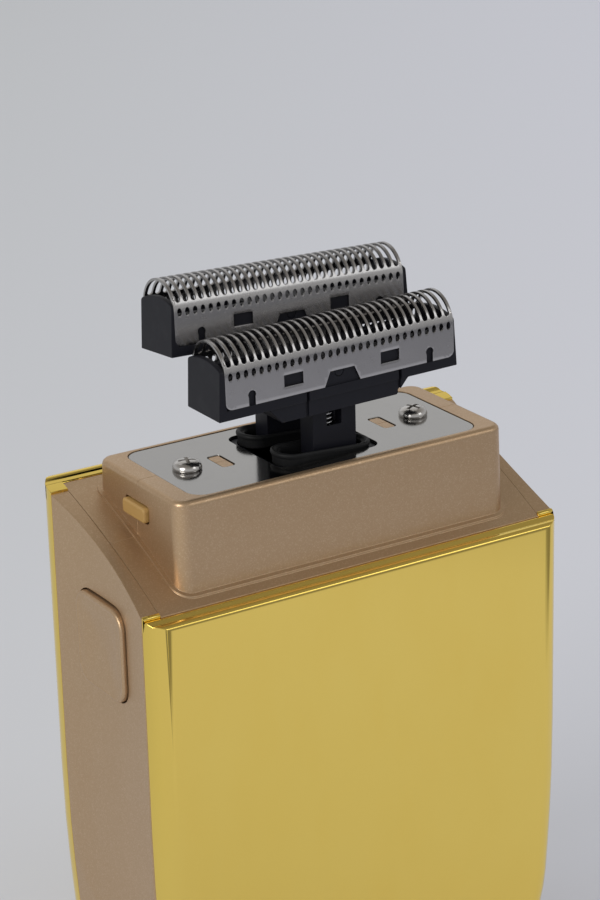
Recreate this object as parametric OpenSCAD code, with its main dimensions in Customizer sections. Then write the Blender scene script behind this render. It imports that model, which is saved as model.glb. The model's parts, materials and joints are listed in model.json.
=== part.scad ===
// Rechargeable double-cutter shaver, with its foil head taken off.
// It stands upright on z = 0, with the middle of the body on x = y = 0.
// The plain gold cover faces -Y, and the power button is on the cover at +Y.

/* [Body] */
// Width across the gold covers
body_w = 62; // [61:0.5:64]
// Depth from the front cover's face to the rear cover's face
body_d = 29; // [29:0.25:30]
// Height of the rim of the plinth, which the steel plate lies in
plinth_top = 84; // [84:0.5:88]
// Radius of the four upright corners
corner_r = 3; // [2.8:0.1:4]
// Height at which the straight sides start to draw in
waist_z = 42; // [38:1:44]
// Height at which the sides turn in towards the base
heel_z = 19; // [16:1:20]
// Radius of that turn
heel_r = 24; // [22:1:30]

/* [Shells] */
// Thickness of the gold covers and of the side panels
cover_t = 2.5; // [2.4:0.1:2.7]
// How far a gold cover laps round onto each side
cover_lap = 3.2; // [3:0.1:4]
// How far the side panels are hollowed between the covers
side_hollow = 0.8; // [0.4:0.1:0.8]
// How far the rolled lip of a cover stands above the shoulder
lip_h = 0.4; // [0.4:0.1:0.8]
// Wall thickness of the two housing halves
housing_t = 1.6; // [1.4:0.1:1.7]
// Thickness of a gold cover at its lip
lip_t = 2.2; // [2.1:0.1:2.4]
// Slope of the shoulder at mid-depth, in degrees, falling to the front
shoulder_tilt = 21.5; // [20:0.5:22]
// Radius of the shoulder's crown
crown_r = 125; // [120:5:160]
// How far the side panels sit towards the front
panel_shift = 0.6; // [0:0.1:0.6]
// Thickness of the bottom cap
cap_t = 3; // [2.8:0.1:3]

/* [Plinth] */
// Width of the plinth at its top
plinth_w = 48.8; // [48:0.2:49]
// Depth of the plinth at its top
plinth_d = 20.7; // [20.4:0.1:21]
// Radius of its upright corners
plinth_r = 1.9; // [1.8:0.1:4.2]
// Draft of its walls, in degrees
plinth_draft = 1; // [0.5:0.1:1.2]
// Width of the steel plate
plate_w = 42.7; // [42.5:0.1:44]
// Depth of the steel plate
plate_d = 18.4; // [18:0.1:18.4]
// Thickness of the steel plate
plate_t = 0.8; // [0.6:0.1:0.8]

/* [Cutters] */
// Distance between the middles of the two cutters
cutter_pitch = 8.4; // [8.4:0.1:8.6]
// Width of a cutter
cutter_w = 7.8; // [7.6:0.1:7.8]
// Length of a cutter at its foot
cutter_l = 35.4; // [35.2:0.1:36]
// Number of slots in a comb
slot_count = 30; // [20:2:30]
// Distance from slot to slot
slot_pitch = 1.115; // [1.1:0.005:1.12]
// Width of a slot
slot_w = 0.62; // [0.5:0.02:0.66]
// Height of the front cutter's foot above the plinth
front_lift = 8.45; // [8:0.05:9]
// How much higher the rear cutter stands
rear_step = 5.3; // [5:0.1:6]
// How far each cutter can be pressed down on its spring
float_travel = 2; // [1:0.1:2]
// Tilt at rest of the front cutter, in degrees
front_rock = -0.8; // [-2:0.1:2]
// Tilt at rest of the rear cutter, in degrees
rear_rock = 1.9; // [-2:0.1:2]
// Lean of the rear cutter towards the back, in degrees
rear_lean = 5.4; // [0:0.2:6]

/* [Drive] */
// Throw of the two eccentric discs
throw = 1.2; // [0.8:0.1:1.2]
// How far the cutters stand off the middle at rest, the front one to the right
rest_shift = 0.8; // [0:0.1:0.8]
// Radial clearance of sliding and turning parts
running_gap = 0.04; // [0.02:0.01:0.06]

/* [Buttons] */
// Width of a head-release button
release_w = 12; // [11.6:0.1:12.2]
// Height of a head-release button
release_h = 12.6; // [12:0.1:12.6]
// Travel of the head release
release_travel = 1; // [0.6:0.1:1]
// Radius of the power button
power_r = 5.4; // [5:0.1:5.4]

/* [Hidden] */

$fn = 48;
OVER = 1;               // how far a cutting shape runs past what it cuts
FAR = 100;              // larger than the whole object
TOP_Z = 90;             // above the shoulder everywhere

// Outer body
waist_r = 265;          // radius of the long sweep below the waist
base_r = 1.5;           // rounding of the bottom edge
heel_draw = pow(waist_z - heel_z, 2) / (2 * waist_r);
heel_slope = (waist_z - heel_z) / waist_r;
shoulder_mid = plinth_top - 7.44;
crown_y = crown_r * sin(shoulder_tilt);
crown_z = shoulder_mid - crown_r * cos(shoulder_tilt);
lip_y = body_d / 2 - lip_t;
shelf_t = 1.2;          // thickness of the shoulder where it laps over the covers
split_y = body_d / 2 - cover_lap;
release_y = -0.4;
inner_y = body_d / 2 - cover_t - housing_t;
inner_x = body_w / 2 - cover_t - housing_t;
floor_z = cap_t + housing_t;
lip_outer_r = 0.8;
lip_inner_r = 0.3;
lip_dip = 0.25;         // how far the lip's inner part lies below its bead
lap_h = 0.25;           // how far the laps stand above the shoulder
body_levels = [0, 0.2, 0.6, base_r, cap_t, floor_z, 6, 8, 10, 12, 14, 16.5, heel_z, 23, 28, 34, waist_z];

// Plinth and plate
plinth_wall = 1.8;
plinth_edge_r = 0.7;
recess_z = plinth_top - 0.9;
ceiling_z = recess_z - 1.8;
plate_top = recess_z + plate_t;
opening = [15.2, 13.9];
plate_screw_x = 17.1;
window_x = 12.2;
window_size = [1.9, 4.4];
pan_r = 1.9;            // head radius of the M2 screws
pan_h = 1.3;
m2_r = 1;
m2_clear_r = 1.2;
m2_pilot_r = 0.85;

// Drive train
lane_y = cutter_pitch / 2;
post_size = [6.5, 3];
post_shift = 0.45;      // how far the middle of a post lies to the right of its bore
bar_half_l = 9;
bar_half_w = 2.4;
bar_low = plinth_top - 11;
bar_high = plinth_top - 5;
rod_r = 1;
rod_z = (bar_low + bar_high) / 2;
pillar_x = [15.6, 19.4];
chassis_z = plinth_top - 19;
chassis_t = 1.6;
disc_r = 2.5;
disc_t = 1.6;
upper_disc_z = bar_low - 2.5;
lower_disc_z = bar_low - 5.5;
yoke_t = 1.4;
yoke_slot = [2 * (disc_r + 2 * throw + 0.3), 2 * (disc_r + throw + 0.3)];
yoke_rim = 1.2;
crank_angle = acos(rest_shift / throw);
bore_r = 1.15;          // bore of a drive post
stem_r = bore_r - 0.05;
spring_wire_r = 0.175;

// Cutter heights, from the cutter's own foot
post_over_foot = -0.45;
pin_over_foot = 2.9;
head_gap = 0.4;
core_top = 5.2;
block_drop = 2.1;
block_half_l = 8.55;
comb_low = 1.35;
comb_spring = 5.55;
comb_half_l = 16.5;
comb_t = 0.3;
pin_r = 0.6;
pocket = [8.4, 4.5];
pocket_top = 4.2;
end_top = 7.2;          // crown of a carrier's end plates
end_crown_r = 10;
end_round_r = 0.5;
groove_x = [-4.85, 8.95];
groove_size = [0.4, 0.35];
front_foot = plinth_top + front_lift;
rear_foot = front_foot + rear_step;

// Head release
latch_x = 22.2;         // outer face of the latch plate
latch_t = 1.2;
nose_z = plinth_top - 3.9;
nose_size = [5.6, 2];
release_z = plinth_top - 20.7;
release_t = 1.3;
release_r = 2.6;
skirt_x = 17;
latch_spring_z = release_z - 1.3;

// Motor
motor_r = 10.2;
motor_half_d = 7.7;
motor_l = 25;
motor_low = chassis_z - motor_l;

// Lower body
cell_r = 7;
cell_y = -2.5;
cell_z = 27;
cell_half_l = 21.3;
board_y = 4.9;
board_t = 1;
board_z = [12.5, 36.5];
board_half_w = 16;
power_z = 30;
lens_z = 18;
lens_size = [11, 2.2];
socket_size = [9, 3.2];
socket_low = 1.6;
charge_board_z = 11;
case_screws_at = [[23.4, 46], [-23.4, 46], [18, 9], [-18, 9]];
cap_screws_at = [[14, 5.5], [-14, 5.5], [14, -5.5], [-14, -5.5]];
board_screws_at = [[13, 16], [-13, 16], [13, 33], [-13, 33]];
peg_at = [[20, 26], [-20, 26], [20, 62], [-20, 62]];
peg_r = 1.2;

// ---------- shapes used by several parts ----------

// Points of an arc round [cx, cy]
function arc(cx, cy, r, from, to, n = 6) =
    [for (i = [0:n]) let (a = from + (to - from) * i / n) [cx + r * cos(a), cy + r * sin(a)]];

// Outline of a rectangle with round corners
function round_rect_points(w, d, r) = concat(
    arc(w / 2 - r, d / 2 - r, r, 0, 90),
    arc(r - w / 2, d / 2 - r, r, 90, 180),
    arc(r - w / 2, r - d / 2, r, 180, 270),
    arc(w / 2 - r, r - d / 2, r, 270, 360));

module round_rect(w, d, r) {
    polygon(round_rect_points(w, d, r));
}

// Upright slab with round corners, standing on z
module slab(w, d, r, z, h) {
    translate([0, 0, z])
        linear_extrude(h)
            round_rect(w, d, r);
}

// Rounded plate w along Y and h along Z, t thick towards +X
module plate_x(w, h, r, t) {
    rotate([90, 0, 90])
        linear_extrude(t)
            round_rect(w, h, r);
}

// Rounded plate w along X and h along Z, t thick towards +Y
module plate_y(w, h, r, t) {
    translate([0, t, 0])
        rotate([90, 0, 0])
            linear_extrude(t)
                round_rect(w, h, r);
}

// Rod along Y from y0 to y1
module rod_y(x, z, r, y0, y1) {
    translate([x, y1, z])
        rotate([90, 0, 0])
            cylinder(r = r, h = y1 - y0);
}

// Rod along X from x0 to x1
module rod_x(y, z, r, x0, x1) {
    translate([x0, y, z])
        rotate([0, 90, 0])
            cylinder(r = r, h = x1 - x0);
}

module box(low, high) {
    translate(low)
        cube(high - low);
}

// Closed skin through a stack of outlines that all have the same number of points
module loft(outlines, heights) {
    n = len(outlines[0]);
    top = len(heights) - 1;
    points = [for (k = [0:top]) for (p = outlines[k]) [p[0], p[1], heights[k]]];
    sides = [for (k = [0:top - 1]) for (i = [0:n - 1])
        let (a = k * n + i, b = k * n + (i + 1) % n)
            each [[a, a + n, b], [b, a + n, b + n]]];
    caps = [[for (i = [0:n - 1]) i], [for (i = [n - 1:-1:0]) top * n + i]];
    polyhedron(points = points, faces = concat(sides, caps), convexity = 4);
}

// Tube of radius r along a list of points; side_axis is never along the tube
module tube(path, r, side_axis, sides = 8) {
    last = len(path) - 1;
    function unit(v) = v / norm(v);
    rings = [for (k = [0:last])
        let (along = unit(path[min(k + 1, last)] - path[max(k - 1, 0)]),
             u = unit(cross(side_axis, along)),
             v = cross(along, u))
        [for (i = [0:sides - 1]) path[k] + r * (cos(360 * i / sides) * u + sin(360 * i / sides) * v)]];
    skin = [for (k = [0:last - 1]) for (i = [0:sides - 1])
        let (a = k * sides + i, b = k * sides + (i + 1) % sides)
            each [[a, a + sides, b], [b, a + sides, b + sides]]];
    ends = [[for (i = [0:sides - 1]) i], [for (i = [sides - 1:-1:0]) last * sides + i]];
    polyhedron(points = [for (ring = rings) each ring], faces = concat(skin, ends), convexity = 8);
}

// Compression spring standing on z = 0, between two flat faces a length apart
module coil(mean_r, wire_r, length, turns) {
    steps = 12;
    rise = length - 2 * wire_r - 0.02;
    path = [for (i = [0:turns * steps])
        [mean_r * cos(360 * i / steps), mean_r * sin(360 * i / steps),
            wire_r + 0.01 + rise * i / (turns * steps)]];
    tube(path, wire_r, [0, 0, 1], 6);
}

// Pan-head screw pointing down, the underside of its head on z = 0
module pan_screw(length, head_r = pan_r, head_h = pan_h, shank_r = m2_r) {
    difference() {
        rotate_extrude()
            polygon(concat([[0, 0], [head_r, 0], [head_r, head_h * 0.3]],
                arc(0, -head_r * 0.7, head_r * 1.35, 38, 90, 5) * 1,
                [[0, head_h * 0.5]]));
        for (turn = [0, 90])
            rotate([0, 0, turn])
                box([-head_r * 0.62, -0.22, head_h * 0.35], [head_r * 0.62, 0.22, head_h + OVER]);
    }
    translate([0, 0, -length])
        cylinder(r = shank_r, h = length);
}

// ---------- outer body ----------

// How far the sides have drawn in at height z
function side_draw(z) = z >= waist_z ? 0
    : z >= heel_z ? pow(waist_z - z, 2) / (2 * waist_r)
    : heel_draw + heel_slope * (heel_z - z) + heel_r - sqrt(pow(heel_r, 2) - pow(heel_z - z, 2));

// How far the bottom edge is rounded off at height z
function base_draw(z) = z >= base_r ? 0 : base_r - sqrt(pow(base_r, 2) - pow(base_r - z, 2));

// The body's form, drawn in by inset all round, between two heights
module body_form(inset, low, high = TOP_Z) {
    heights = concat([for (z = body_levels) if (z >= low) z], [high]);
    loft([for (z = heights) round_rect_points(
            body_w - 2 * (inset + side_draw(z) + base_draw(z)),
            body_d - 2 * (inset + base_draw(z)),
            max(corner_r - inset, 0.5))],
        heights);
}

// Everything under the crowned, sloping shoulder, raised by lift
module under_shoulder(lift) {
    translate([-FAR, crown_y, crown_z])
        rotate([0, 90, 0])
            cylinder(r = crown_r + lift, h = 2 * FAR, $fn = 400);
}

function shoulder_z(y) = crown_z + sqrt(pow(crown_r, 2) - pow(y - crown_y, 2));

function shoulder_slope(y) = asin((crown_y - y) / crown_r);

// Where the shoulder laps over the upper edges of the covers, between two heights above its surface
module shelf(low, high) {
    difference() {
        intersection() {
            box([cover_t - body_w / 2, -lip_y, 0], [body_w / 2 - cover_t, lip_y, FAR]);
            under_shoulder(high);
        }
        under_shoulder(low);
    }
}

// Height and depth profile of a cover's lip; side is -1 at the front and 1 at the rear
module lip_room(side) {
    outer = side * body_d / 2;
    inner = side * lip_y;
    round_y = outer - side * lip_outer_r;
    ease_y = inner + side * lip_inner_r;
    mid_y = (outer + inner) / 2;
    slope = shoulder_slope(mid_y);
    crest = 90 + slope;
    top = shoulder_z(mid_y) + lip_h;
    round_z = top + (round_y - mid_y) * tan(slope) - lip_outer_r / cos(slope);
    ease_z = top + (ease_y - mid_y) * tan(slope) - (lip_inner_r + lip_dip) / cos(slope);
    fall = side * acos(1 - lip_dip / lip_outer_r);
    edge = concat(
        arc(round_y, round_z, lip_outer_r, side > 0 ? 0 : 180, crest + fall, 9),
        arc(ease_y, ease_z, lip_inner_r, crest, side > 0 ? 180 : 0));
    rotate([90, 0, 90])
        translate([0, 0, -FAR])
            linear_extrude(2 * FAR)
                polygon(concat([[outer, 0]], edge, [[inner, 0]]));
}

// One gold cover, without what is cut into it
module cover_blank(side) {
    low_y = side < 0 ? -FAR : split_y - panel_shift;
    high_y = side < 0 ? -split_y - panel_shift : FAR;
    difference() {
        intersection() {
            body_form(0, cap_t);
            box([-FAR, low_y, 0], [FAR, high_y, FAR]);
            union() {
                lip_room(side);
                intersection() {
                    box([-FAR, -lip_y, 0], [FAR, lip_y, FAR]);
                    under_shoulder(lap_h);
                }
            }
        }
        body_form(cover_t, base_r, TOP_Z + OVER);
        shelf(-shelf_t, 2 * lip_h);
    }
    for (p = peg_at)
        rod_y(p[0], p[1], peg_r, side < 0 ? -body_d / 2 + 1 : inner_y + 0.2, side < 0 ? -inner_y - 0.2 : body_d / 2 - 1);
}

module front_cover() {
    color("goldenrod")
        cover_blank(-1);
}

module rear_cover() {
    color("goldenrod")
        difference() {
            cover_blank(1);
            rod_y(0, power_z, power_r + 0.2, 0, FAR);
            rod_y(0, power_z, power_r + 1.65, body_d / 2 - 0.9, FAR);
            translate([0, 0, lens_z])
                plate_y(lens_size[0] + 0.1, lens_size[1] + 0.1, 0.6, FAR);
        }
}

// Side strip between the covers, drawn for the left
module side_panel() {
    hollow_r = (pow(split_y, 2) + pow(side_hollow, 2)) / (2 * side_hollow);
    color("rosybrown")
        difference() {
            intersection() {
                body_form(0, cap_t);
                box([-FAR, -split_y - panel_shift, 0], [0, split_y - panel_shift, FAR]);
                under_shoulder(0);
            }
            body_form(cover_t, base_r, TOP_Z + OVER);
            shelf(-shelf_t, 2 * lip_h);
            translate([-body_w / 2 - hollow_r + side_hollow, -panel_shift, 0])
                cylinder(r = hollow_r, h = FAR, $fn = 400);
            translate([-FAR, release_y, release_z])
                plate_x(release_w + 0.4, release_h + 0.4, release_r + 0.2, FAR);
        }
}

module left_side_panel() {
    side_panel();
}

module right_side_panel() {
    mirror([1, 0, 0])
        side_panel();
}

module bottom_cap() {
    color("rosybrown")
        difference() {
            intersection() {
                body_form(0, 0);
                box([-FAR, -FAR, 0], [FAR, FAR, cap_t]);
            }
            slab(socket_size[0] + 0.4, socket_size[1] + 0.4, 1.6, -OVER, FAR);
            for (p = cap_screws_at)
                translate([p[0], p[1], 0]) {
                    cylinder(r = pan_r + 0.2, h = 1.5);
                    cylinder(r = m2_clear_r, h = FAR);
                }
        }
}

// ---------- housing ----------

function plinth_grow(z) = (plinth_top - z) * tan(plinth_draft);

// The plinth's form with its rounded top edge
module plinth_form() {
    bend = [0, 30, 60, 90];
    heights = concat([bar_low - 12], [for (a = bend) plinth_top - plinth_edge_r * (1 - sin(a))]);
    draw = concat([0], [for (a = bend) plinth_edge_r * (1 - cos(a))]);
    loft([for (k = [0:len(heights) - 1]) round_rect_points(
            plinth_w + 2 * (plinth_grow(heights[k]) - draw[k]),
            plinth_d + 2 * (plinth_grow(heights[k]) - draw[k]),
            plinth_r - draw[k])],
        heights);
}

// Both halves of the housing in one, before they are parted
module housing_form() {
    foot = plinth_grow(shoulder_mid) + 0.6;
    difference() {
        union() {
            intersection() {
                body_form(cover_t, cap_t);
                under_shoulder(0);
            }
            shelf(-shelf_t, 0);
            intersection() {
                slab(plinth_w + 2 * foot, plinth_d + 2 * foot, plinth_r + 0.6, bar_low - 8, FAR);
                under_shoulder(0.25);
            }
            plinth_form();
        }
        intersection() {
            body_form(cover_t + housing_t, floor_z);
            under_shoulder(-housing_t - 0.2);
        }
        slab(plinth_w - 2 * plinth_wall, plinth_d - 2 * plinth_wall, plinth_r - 1, bar_low - 20,
            ceiling_z - bar_low + 20);
        slab(plate_w + 0.2, plate_d + 0.2, 2.3, recess_z, FAR);
        slab(opening[0], opening[1], 1.6, ceiling_z - OVER, FAR);
    }
    for (side = [-1, 1]) {
        translate([side * window_x, 0, 0])
            slab(window_size[0] - 0.3, window_size[1] - 0.3, 0.4, recess_z - OVER, OVER + plate_t - 0.1);
        translate([side * plate_screw_x, 0, ceiling_z - 1.3])
            cylinder(r = 3, h = 1.3 + OVER);
    }
}

// What is cut through both halves
module housing_holes() {
    for (side = [-1, 1]) {
        translate([side * plate_screw_x, 0, ceiling_z - 5])
            cylinder(r = m2_clear_r, h = 10);
        translate([side * (plinth_w / 2 - 2) - 3, 0, nose_z])
            plate_x(nose_size[0] + 0.4, nose_size[1] + 0.4, 0.6, 6);
        translate([side * (inner_x + 1) - 3, 0, release_z])
            plate_x(5.4, 5.4, 0.6, 6);
    }
    for (p = cap_screws_at)
        translate([p[0], p[1], cap_t - OVER])
            cylinder(r = m2_pilot_r, h = 8.3);
    slab(socket_size[0] + 0.4, socket_size[1] + 0.4, 1.6, cap_t - OVER, housing_t + 2);
    for (p = peg_at)
        rod_y(p[0], p[1], peg_r + 0.05, -FAR, FAR);
}

module front_housing() {
    color("tan")
        difference() {
            union() {
                intersection() {
                    housing_form();
                    box([-FAR, -FAR, 0], [FAR, 0, FAR]);
                }
                for (p = case_screws_at)
                    rod_y(p[0], p[1], 2.6, -inner_y - 0.8, 0);
                for (p = cap_screws_at)
                    if (p[1] < 0)
                        translate([p[0], p[1], floor_z - 0.8])
                            cylinder(r = 2.5, h = charge_board_z - floor_z + 0.8);
            }
            housing_holes();
            for (p = case_screws_at) {
                rod_y(p[0], p[1], m2_clear_r, -FAR, OVER);
                rod_y(p[0], p[1], pan_r + 0.2, -FAR, -3);
            }
        }
}

module rear_housing() {
    color("tan")
        difference() {
            union() {
                intersection() {
                    housing_form();
                    box([-FAR, 0, 0], [FAR, FAR, FAR]);
                }
                for (p = case_screws_at)
                    rod_y(p[0], p[1], 2.6, 0, inner_y + 0.8);
                for (p = board_screws_at)
                    rod_y(p[0], p[1], 2, board_y + board_t, inner_y + 0.8);
                for (p = cap_screws_at)
                    if (p[1] > 0)
                        translate([p[0], p[1], floor_z - 0.8])
                            cylinder(r = 2.5, h = charge_board_z - floor_z + 0.8);
            }
            housing_holes();
            for (p = case_screws_at)
                rod_y(p[0], p[1], m2_pilot_r, -OVER, 7);
            for (p = board_screws_at)
                rod_y(p[0], p[1], 0.7, 0, 10);
            rod_y(0, power_z, power_r + 0.2, 5, FAR);
            translate([0, 5, lens_z])
                plate_y(lens_size[0] + 0.1, lens_size[1] + 0.1, 0.6, FAR);
        }
}

module top_plate() {
    color("silver")
        difference() {
            slab(plate_w, plate_d, 2.2, recess_z, plate_t);
            slab(opening[0], opening[1], 1.6, recess_z - OVER, FAR);
            for (side = [-1, 1]) {
                translate([side * window_x, 0, 0])
                    slab(window_size[0], window_size[1], 0.5, recess_z - OVER, FAR);
                translate([side * plate_screw_x, 0, recess_z - OVER])
                    cylinder(r = m2_clear_r, h = FAR);
            }
        }
}

module plate_screws() {
    color("lightgray")
        for (side = [-1, 1])
            translate([side * plate_screw_x, 0, plate_top])
                rotate([0, 0, side * 20])
                    pan_screw(8.5);
}

module cap_screws() {
    color("gray")
        for (p = cap_screws_at)
            translate([p[0], p[1], 1.5])
                mirror([0, 0, 1])
                    pan_screw(7.5);
}

module case_screws() {
    color("gray")
        for (p = case_screws_at)
            translate([p[0], -3, p[1]])
                rotate([90, 0, 0])
                    pan_screw(9);
}

// ---------- seals at the drive posts ----------

module boot_frame() {
    color("black")
        difference() {
            union() {
                slab(opening[0] - 0.2, opening[1] - 0.2, 1.5, ceiling_z - 1, recess_z - ceiling_z + 1.4);
                slab(opening[0] + 2, opening[1] + 1.2, 2, ceiling_z - 1, 1);
            }
            for (side = [-1, 1])
                translate([0, side * lane_y, 0])
                    slab(13.64, 4.84, 2.42, ceiling_z - 2, 6);
        }
}

module drive_boot() {
    color("dimgray")
        difference() {
            slab(13.6, 4.8, 2.4, ceiling_z - 1, plinth_top + 0.35 - ceiling_z + 1);
            slab(10.4, 3.5, 0.8, ceiling_z - 2, 8);
        }
}

module front_drive_boot() {
    translate([0, -lane_y, 0])
        drive_boot();
}

module rear_drive_boot() {
    translate([0, lane_y, 0])
        drive_boot();
}

// ---------- motor and drive ----------

module chassis() {
    color("gray")
        difference() {
            union() {
                box([-pillar_x[1], -9, chassis_z], [pillar_x[1], 9, chassis_z + chassis_t]);
                for (side = [-1, 1]) {
                    mid = side * (pillar_x[0] + pillar_x[1]) / 2;
                    half = (pillar_x[1] - pillar_x[0]) / 2;
                    box([mid - half, -7.2, chassis_z], [mid + half, 7.2, ceiling_z - 1.3]);
                    box([side * (skirt_x - 0.7) - 0.7, -5, latch_spring_z - 4],
                        [side * (skirt_x - 0.7) + 0.7, 5, chassis_z + OVER]);
                }
            }
            translate([0, 0, chassis_z - OVER])
                cylinder(r = 3.5, h = FAR);
            for (side = [-1, 1]) {
                translate([side * 8, 0, chassis_z - OVER])
                    cylinder(r = m2_clear_r, h = 5);
                translate([side * 8, 0, chassis_z + 0.7])
                    cylinder(r = 2, h = 5);
                translate([side * plate_screw_x, 0, rod_z - 2.6])
                    cylinder(r = m2_pilot_r, h = FAR);
                rod_x(side * lane_y, rod_z, rod_r + 0.01, -FAR, FAR);
            }
        }
}

module guide_rod(side) {
    color("lightgray")
        rod_x(side * lane_y, rod_z, rod_r, -pillar_x[1], pillar_x[1]);
}

module front_guide_rod() {
    guide_rod(-1);
}

module rear_guide_rod() {
    guide_rod(1);
}

// Drive slide with its lane on y = 0 and its middle on x = 0. The yoke reaches over the shaft, which lies
// at y = reach, and post_top is the height of the post.
module drive_slide(reach, yoke_z, post_top) {
    toward = sign(reach);
    rim_y = yoke_slot[1] / 2;
    leg_near = reach - toward * (rim_y + 2.6);
    leg_far = reach - toward * (rim_y + (toward > 0 ? 0 : 1.5));
    color("black")
        difference() {
            union() {
                box([-bar_half_l, -bar_half_w, bar_low], [bar_half_l, bar_half_w, bar_high]);
                box([post_shift - post_size[0] / 2, -post_size[1] / 2, bar_high - OVER],
                    [post_shift + post_size[0] / 2, post_size[1] / 2, post_top]);
                difference() {
                    box([-yoke_slot[0] / 2 - yoke_rim, min(leg_near, reach + toward * (rim_y + yoke_rim)), yoke_z],
                        [yoke_slot[0] / 2 + yoke_rim, max(leg_near, reach + toward * (rim_y + yoke_rim)),
                            yoke_z + yoke_t]);
                    box([-yoke_slot[0] / 2, reach - rim_y, yoke_z - OVER],
                        [yoke_slot[0] / 2, reach + rim_y, yoke_z + yoke_t + OVER]);
                }
                box([-yoke_slot[0] / 2 - yoke_rim, min(leg_near, leg_far), yoke_z],
                    [yoke_slot[0] / 2 + yoke_rim, max(leg_near, leg_far), bar_low + OVER]);
            }
            rod_x(0, rod_z, rod_r + running_gap, -FAR, FAR);
            translate([0, 0, bar_high + 1])
                cylinder(r = bore_r, h = FAR);
            box([post_shift - 1.1, -post_size[1], post_top - 4.45], [post_shift + 1.1, 0, post_top - 2.05]);
        }
}

module front_drive_slide() {
    translate([rest_shift, -lane_y, 0])
        drive_slide(lane_y, upper_disc_z + 0.1, front_foot + post_over_foot);
}

module rear_drive_slide() {
    translate([-rest_shift, lane_y, 0])
        drive_slide(-lane_y, lower_disc_z + 0.1, rear_foot + post_over_foot);
}

module cutter_spring(x, y, foot) {
    low = bar_high + 1;
    color("silver")
        translate([x, y, low])
            coil(bore_r - 0.07 - spring_wire_r, spring_wire_r, foot - 2.55 - low, foot > front_foot ? 20 : 13);
}

module front_cutter_spring() {
    cutter_spring(rest_shift, -lane_y, front_foot);
}

module rear_cutter_spring() {
    cutter_spring(-rest_shift, lane_y, rear_foot);
}

// Spring plunger with its cross-bored head; foot is the height of the cutter's foot, and the pin leans with it
module plunger(foot, lean = 0) {
    head_low = foot + post_over_foot + float_travel + head_gap;
    color("white")
        difference() {
            union() {
                translate([0, 0, foot - 2.55])
                    cylinder(r = stem_r, h = head_low - foot + 2.55 + 0.1);
                box([-2.2, -1.45, head_low], [2.2, 1.45, foot + pin_over_foot + 1]);
            }
            translate([0, 0, foot + pin_over_foot])
                rotate([-lean, 0, 0])
                    rod_y(0, 0, pin_r + 0.01, -FAR, FAR);
        }
}

module front_plunger() {
    translate([rest_shift, -lane_y, 0])
        plunger(front_foot);
}

module rear_plunger() {
    translate([-rest_shift, lane_y, 0])
        plunger(rear_foot, rear_lean);
}

module pivot_pin(x, y, foot, lean = 0) {
    color("silver")
        translate([x, y, foot + pin_over_foot])
            rotate([-lean, 0, 0])
                rod_y(0, 0, pin_r, -cutter_w / 2 + comb_t + 0.05, cutter_w / 2 - comb_t - 0.05);
}

module front_pivot_pin() {
    pivot_pin(rest_shift, -lane_y, front_foot);
}

module rear_pivot_pin() {
    pivot_pin(-rest_shift, lane_y, rear_foot, rear_lean);
}

// ---------- cutters ----------

// Places a cutter's child, drawn with its foot on z = 0, at its lane, rocked on its pin and leaning with it
module at_cutter(x, y, foot, rock, lean = 0) {
    translate([x, y, foot + pin_over_foot])
        rotate([-lean, 0, 0])
            rotate([0, rock, 0])
                translate([0, 0, -pin_over_foot])
                    children();
}

// Extrudes an outline drawn in X and Z through the cutter's width
module through_width(half_w) {
    rotate([90, 0, 0])
        translate([0, 0, -half_w])
            linear_extrude(2 * half_w)
                children();
}

// Outline of a carrier's end plate in Y and Z
function end_points() =
    let (half = cutter_w / 2 - end_round_r,
         mid_z = end_top - end_crown_r,
         lift = sqrt(pow(end_crown_r - end_round_r, 2) - pow(half, 2)),
         turn = atan2(lift, half),
         step = (180 - 2 * turn) / 14)
    concat([[-cutter_w / 2, -OVER], [cutter_w / 2, -OVER]],
        arc(half, mid_z + lift, end_round_r, 0, turn, 4),
        arc(0, mid_z, end_crown_r, turn + step, 180 - turn - step, 12),
        arc(-half, mid_z + lift, end_round_r, 180 - turn, 180, 4));

module cutter_carrier() {
    half_l = cutter_l / 2;
    core_half_w = cutter_w / 2 - comb_t;
    color([0.12, 0.12, 0.14])
        difference() {
            union() {
                intersection() {
                    through_width(FAR)
                        polygon([[-half_l, 0], [half_l, 0], [half_l - 0.45, end_top + OVER],
                            [0.45 - half_l, end_top + OVER]]);
                    along_cutter(FAR)
                        polygon(end_points());
                }
                through_width(core_half_w)
                    polygon([[-block_half_l - 2, 0.1], [-block_half_l, -block_drop], [block_half_l, -block_drop],
                        [block_half_l + 2, 0.1]]);
            }
            box([-comb_half_l - 0.05, -FAR, core_top], [comb_half_l + 0.05, FAR, FAR]);
            for (side = [-1, 1]) {
                box([-comb_half_l - 0.05, side * (cutter_w / 2 + OVER / 2 - comb_t) - OVER / 2, comb_low - 0.05],
                    [comb_half_l + 0.05, side * (cutter_w / 2 + OVER / 2 - comb_t) + OVER / 2, FAR]);
                box([side * 10.9 - 4.9, -2.5, 1.8], [side * 10.9 + 4.9, 2.5, FAR]);
            }
            box([-pocket[0] / 2, -pocket[1] / 2, -FAR], [pocket[0] / 2, pocket[1] / 2, pocket_top]);
            rod_y(0, pin_over_foot, pin_r + running_gap, -FAR, FAR);
            for (x = groove_x)
                box([x - groove_size[0] / 2, -FAR, -FAR],
                    [x + groove_size[0] / 2, groove_size[1] - core_half_w, comb_low - 0.05]);
        }
}

// Extrudes an outline drawn in Y and Z along the cutter, about its middle
module along_cutter(length) {
    rotate([90, 0, 90])
        translate([0, 0, -length / 2])
            linear_extrude(length)
                children();
}

// Arch of a comb in Y and Z, with straight flanks down to low
function arch_points(r, low) = concat([[r, low]], arc(0, comb_spring, r, 0, 180, 16), [[-r, low]]);

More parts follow.
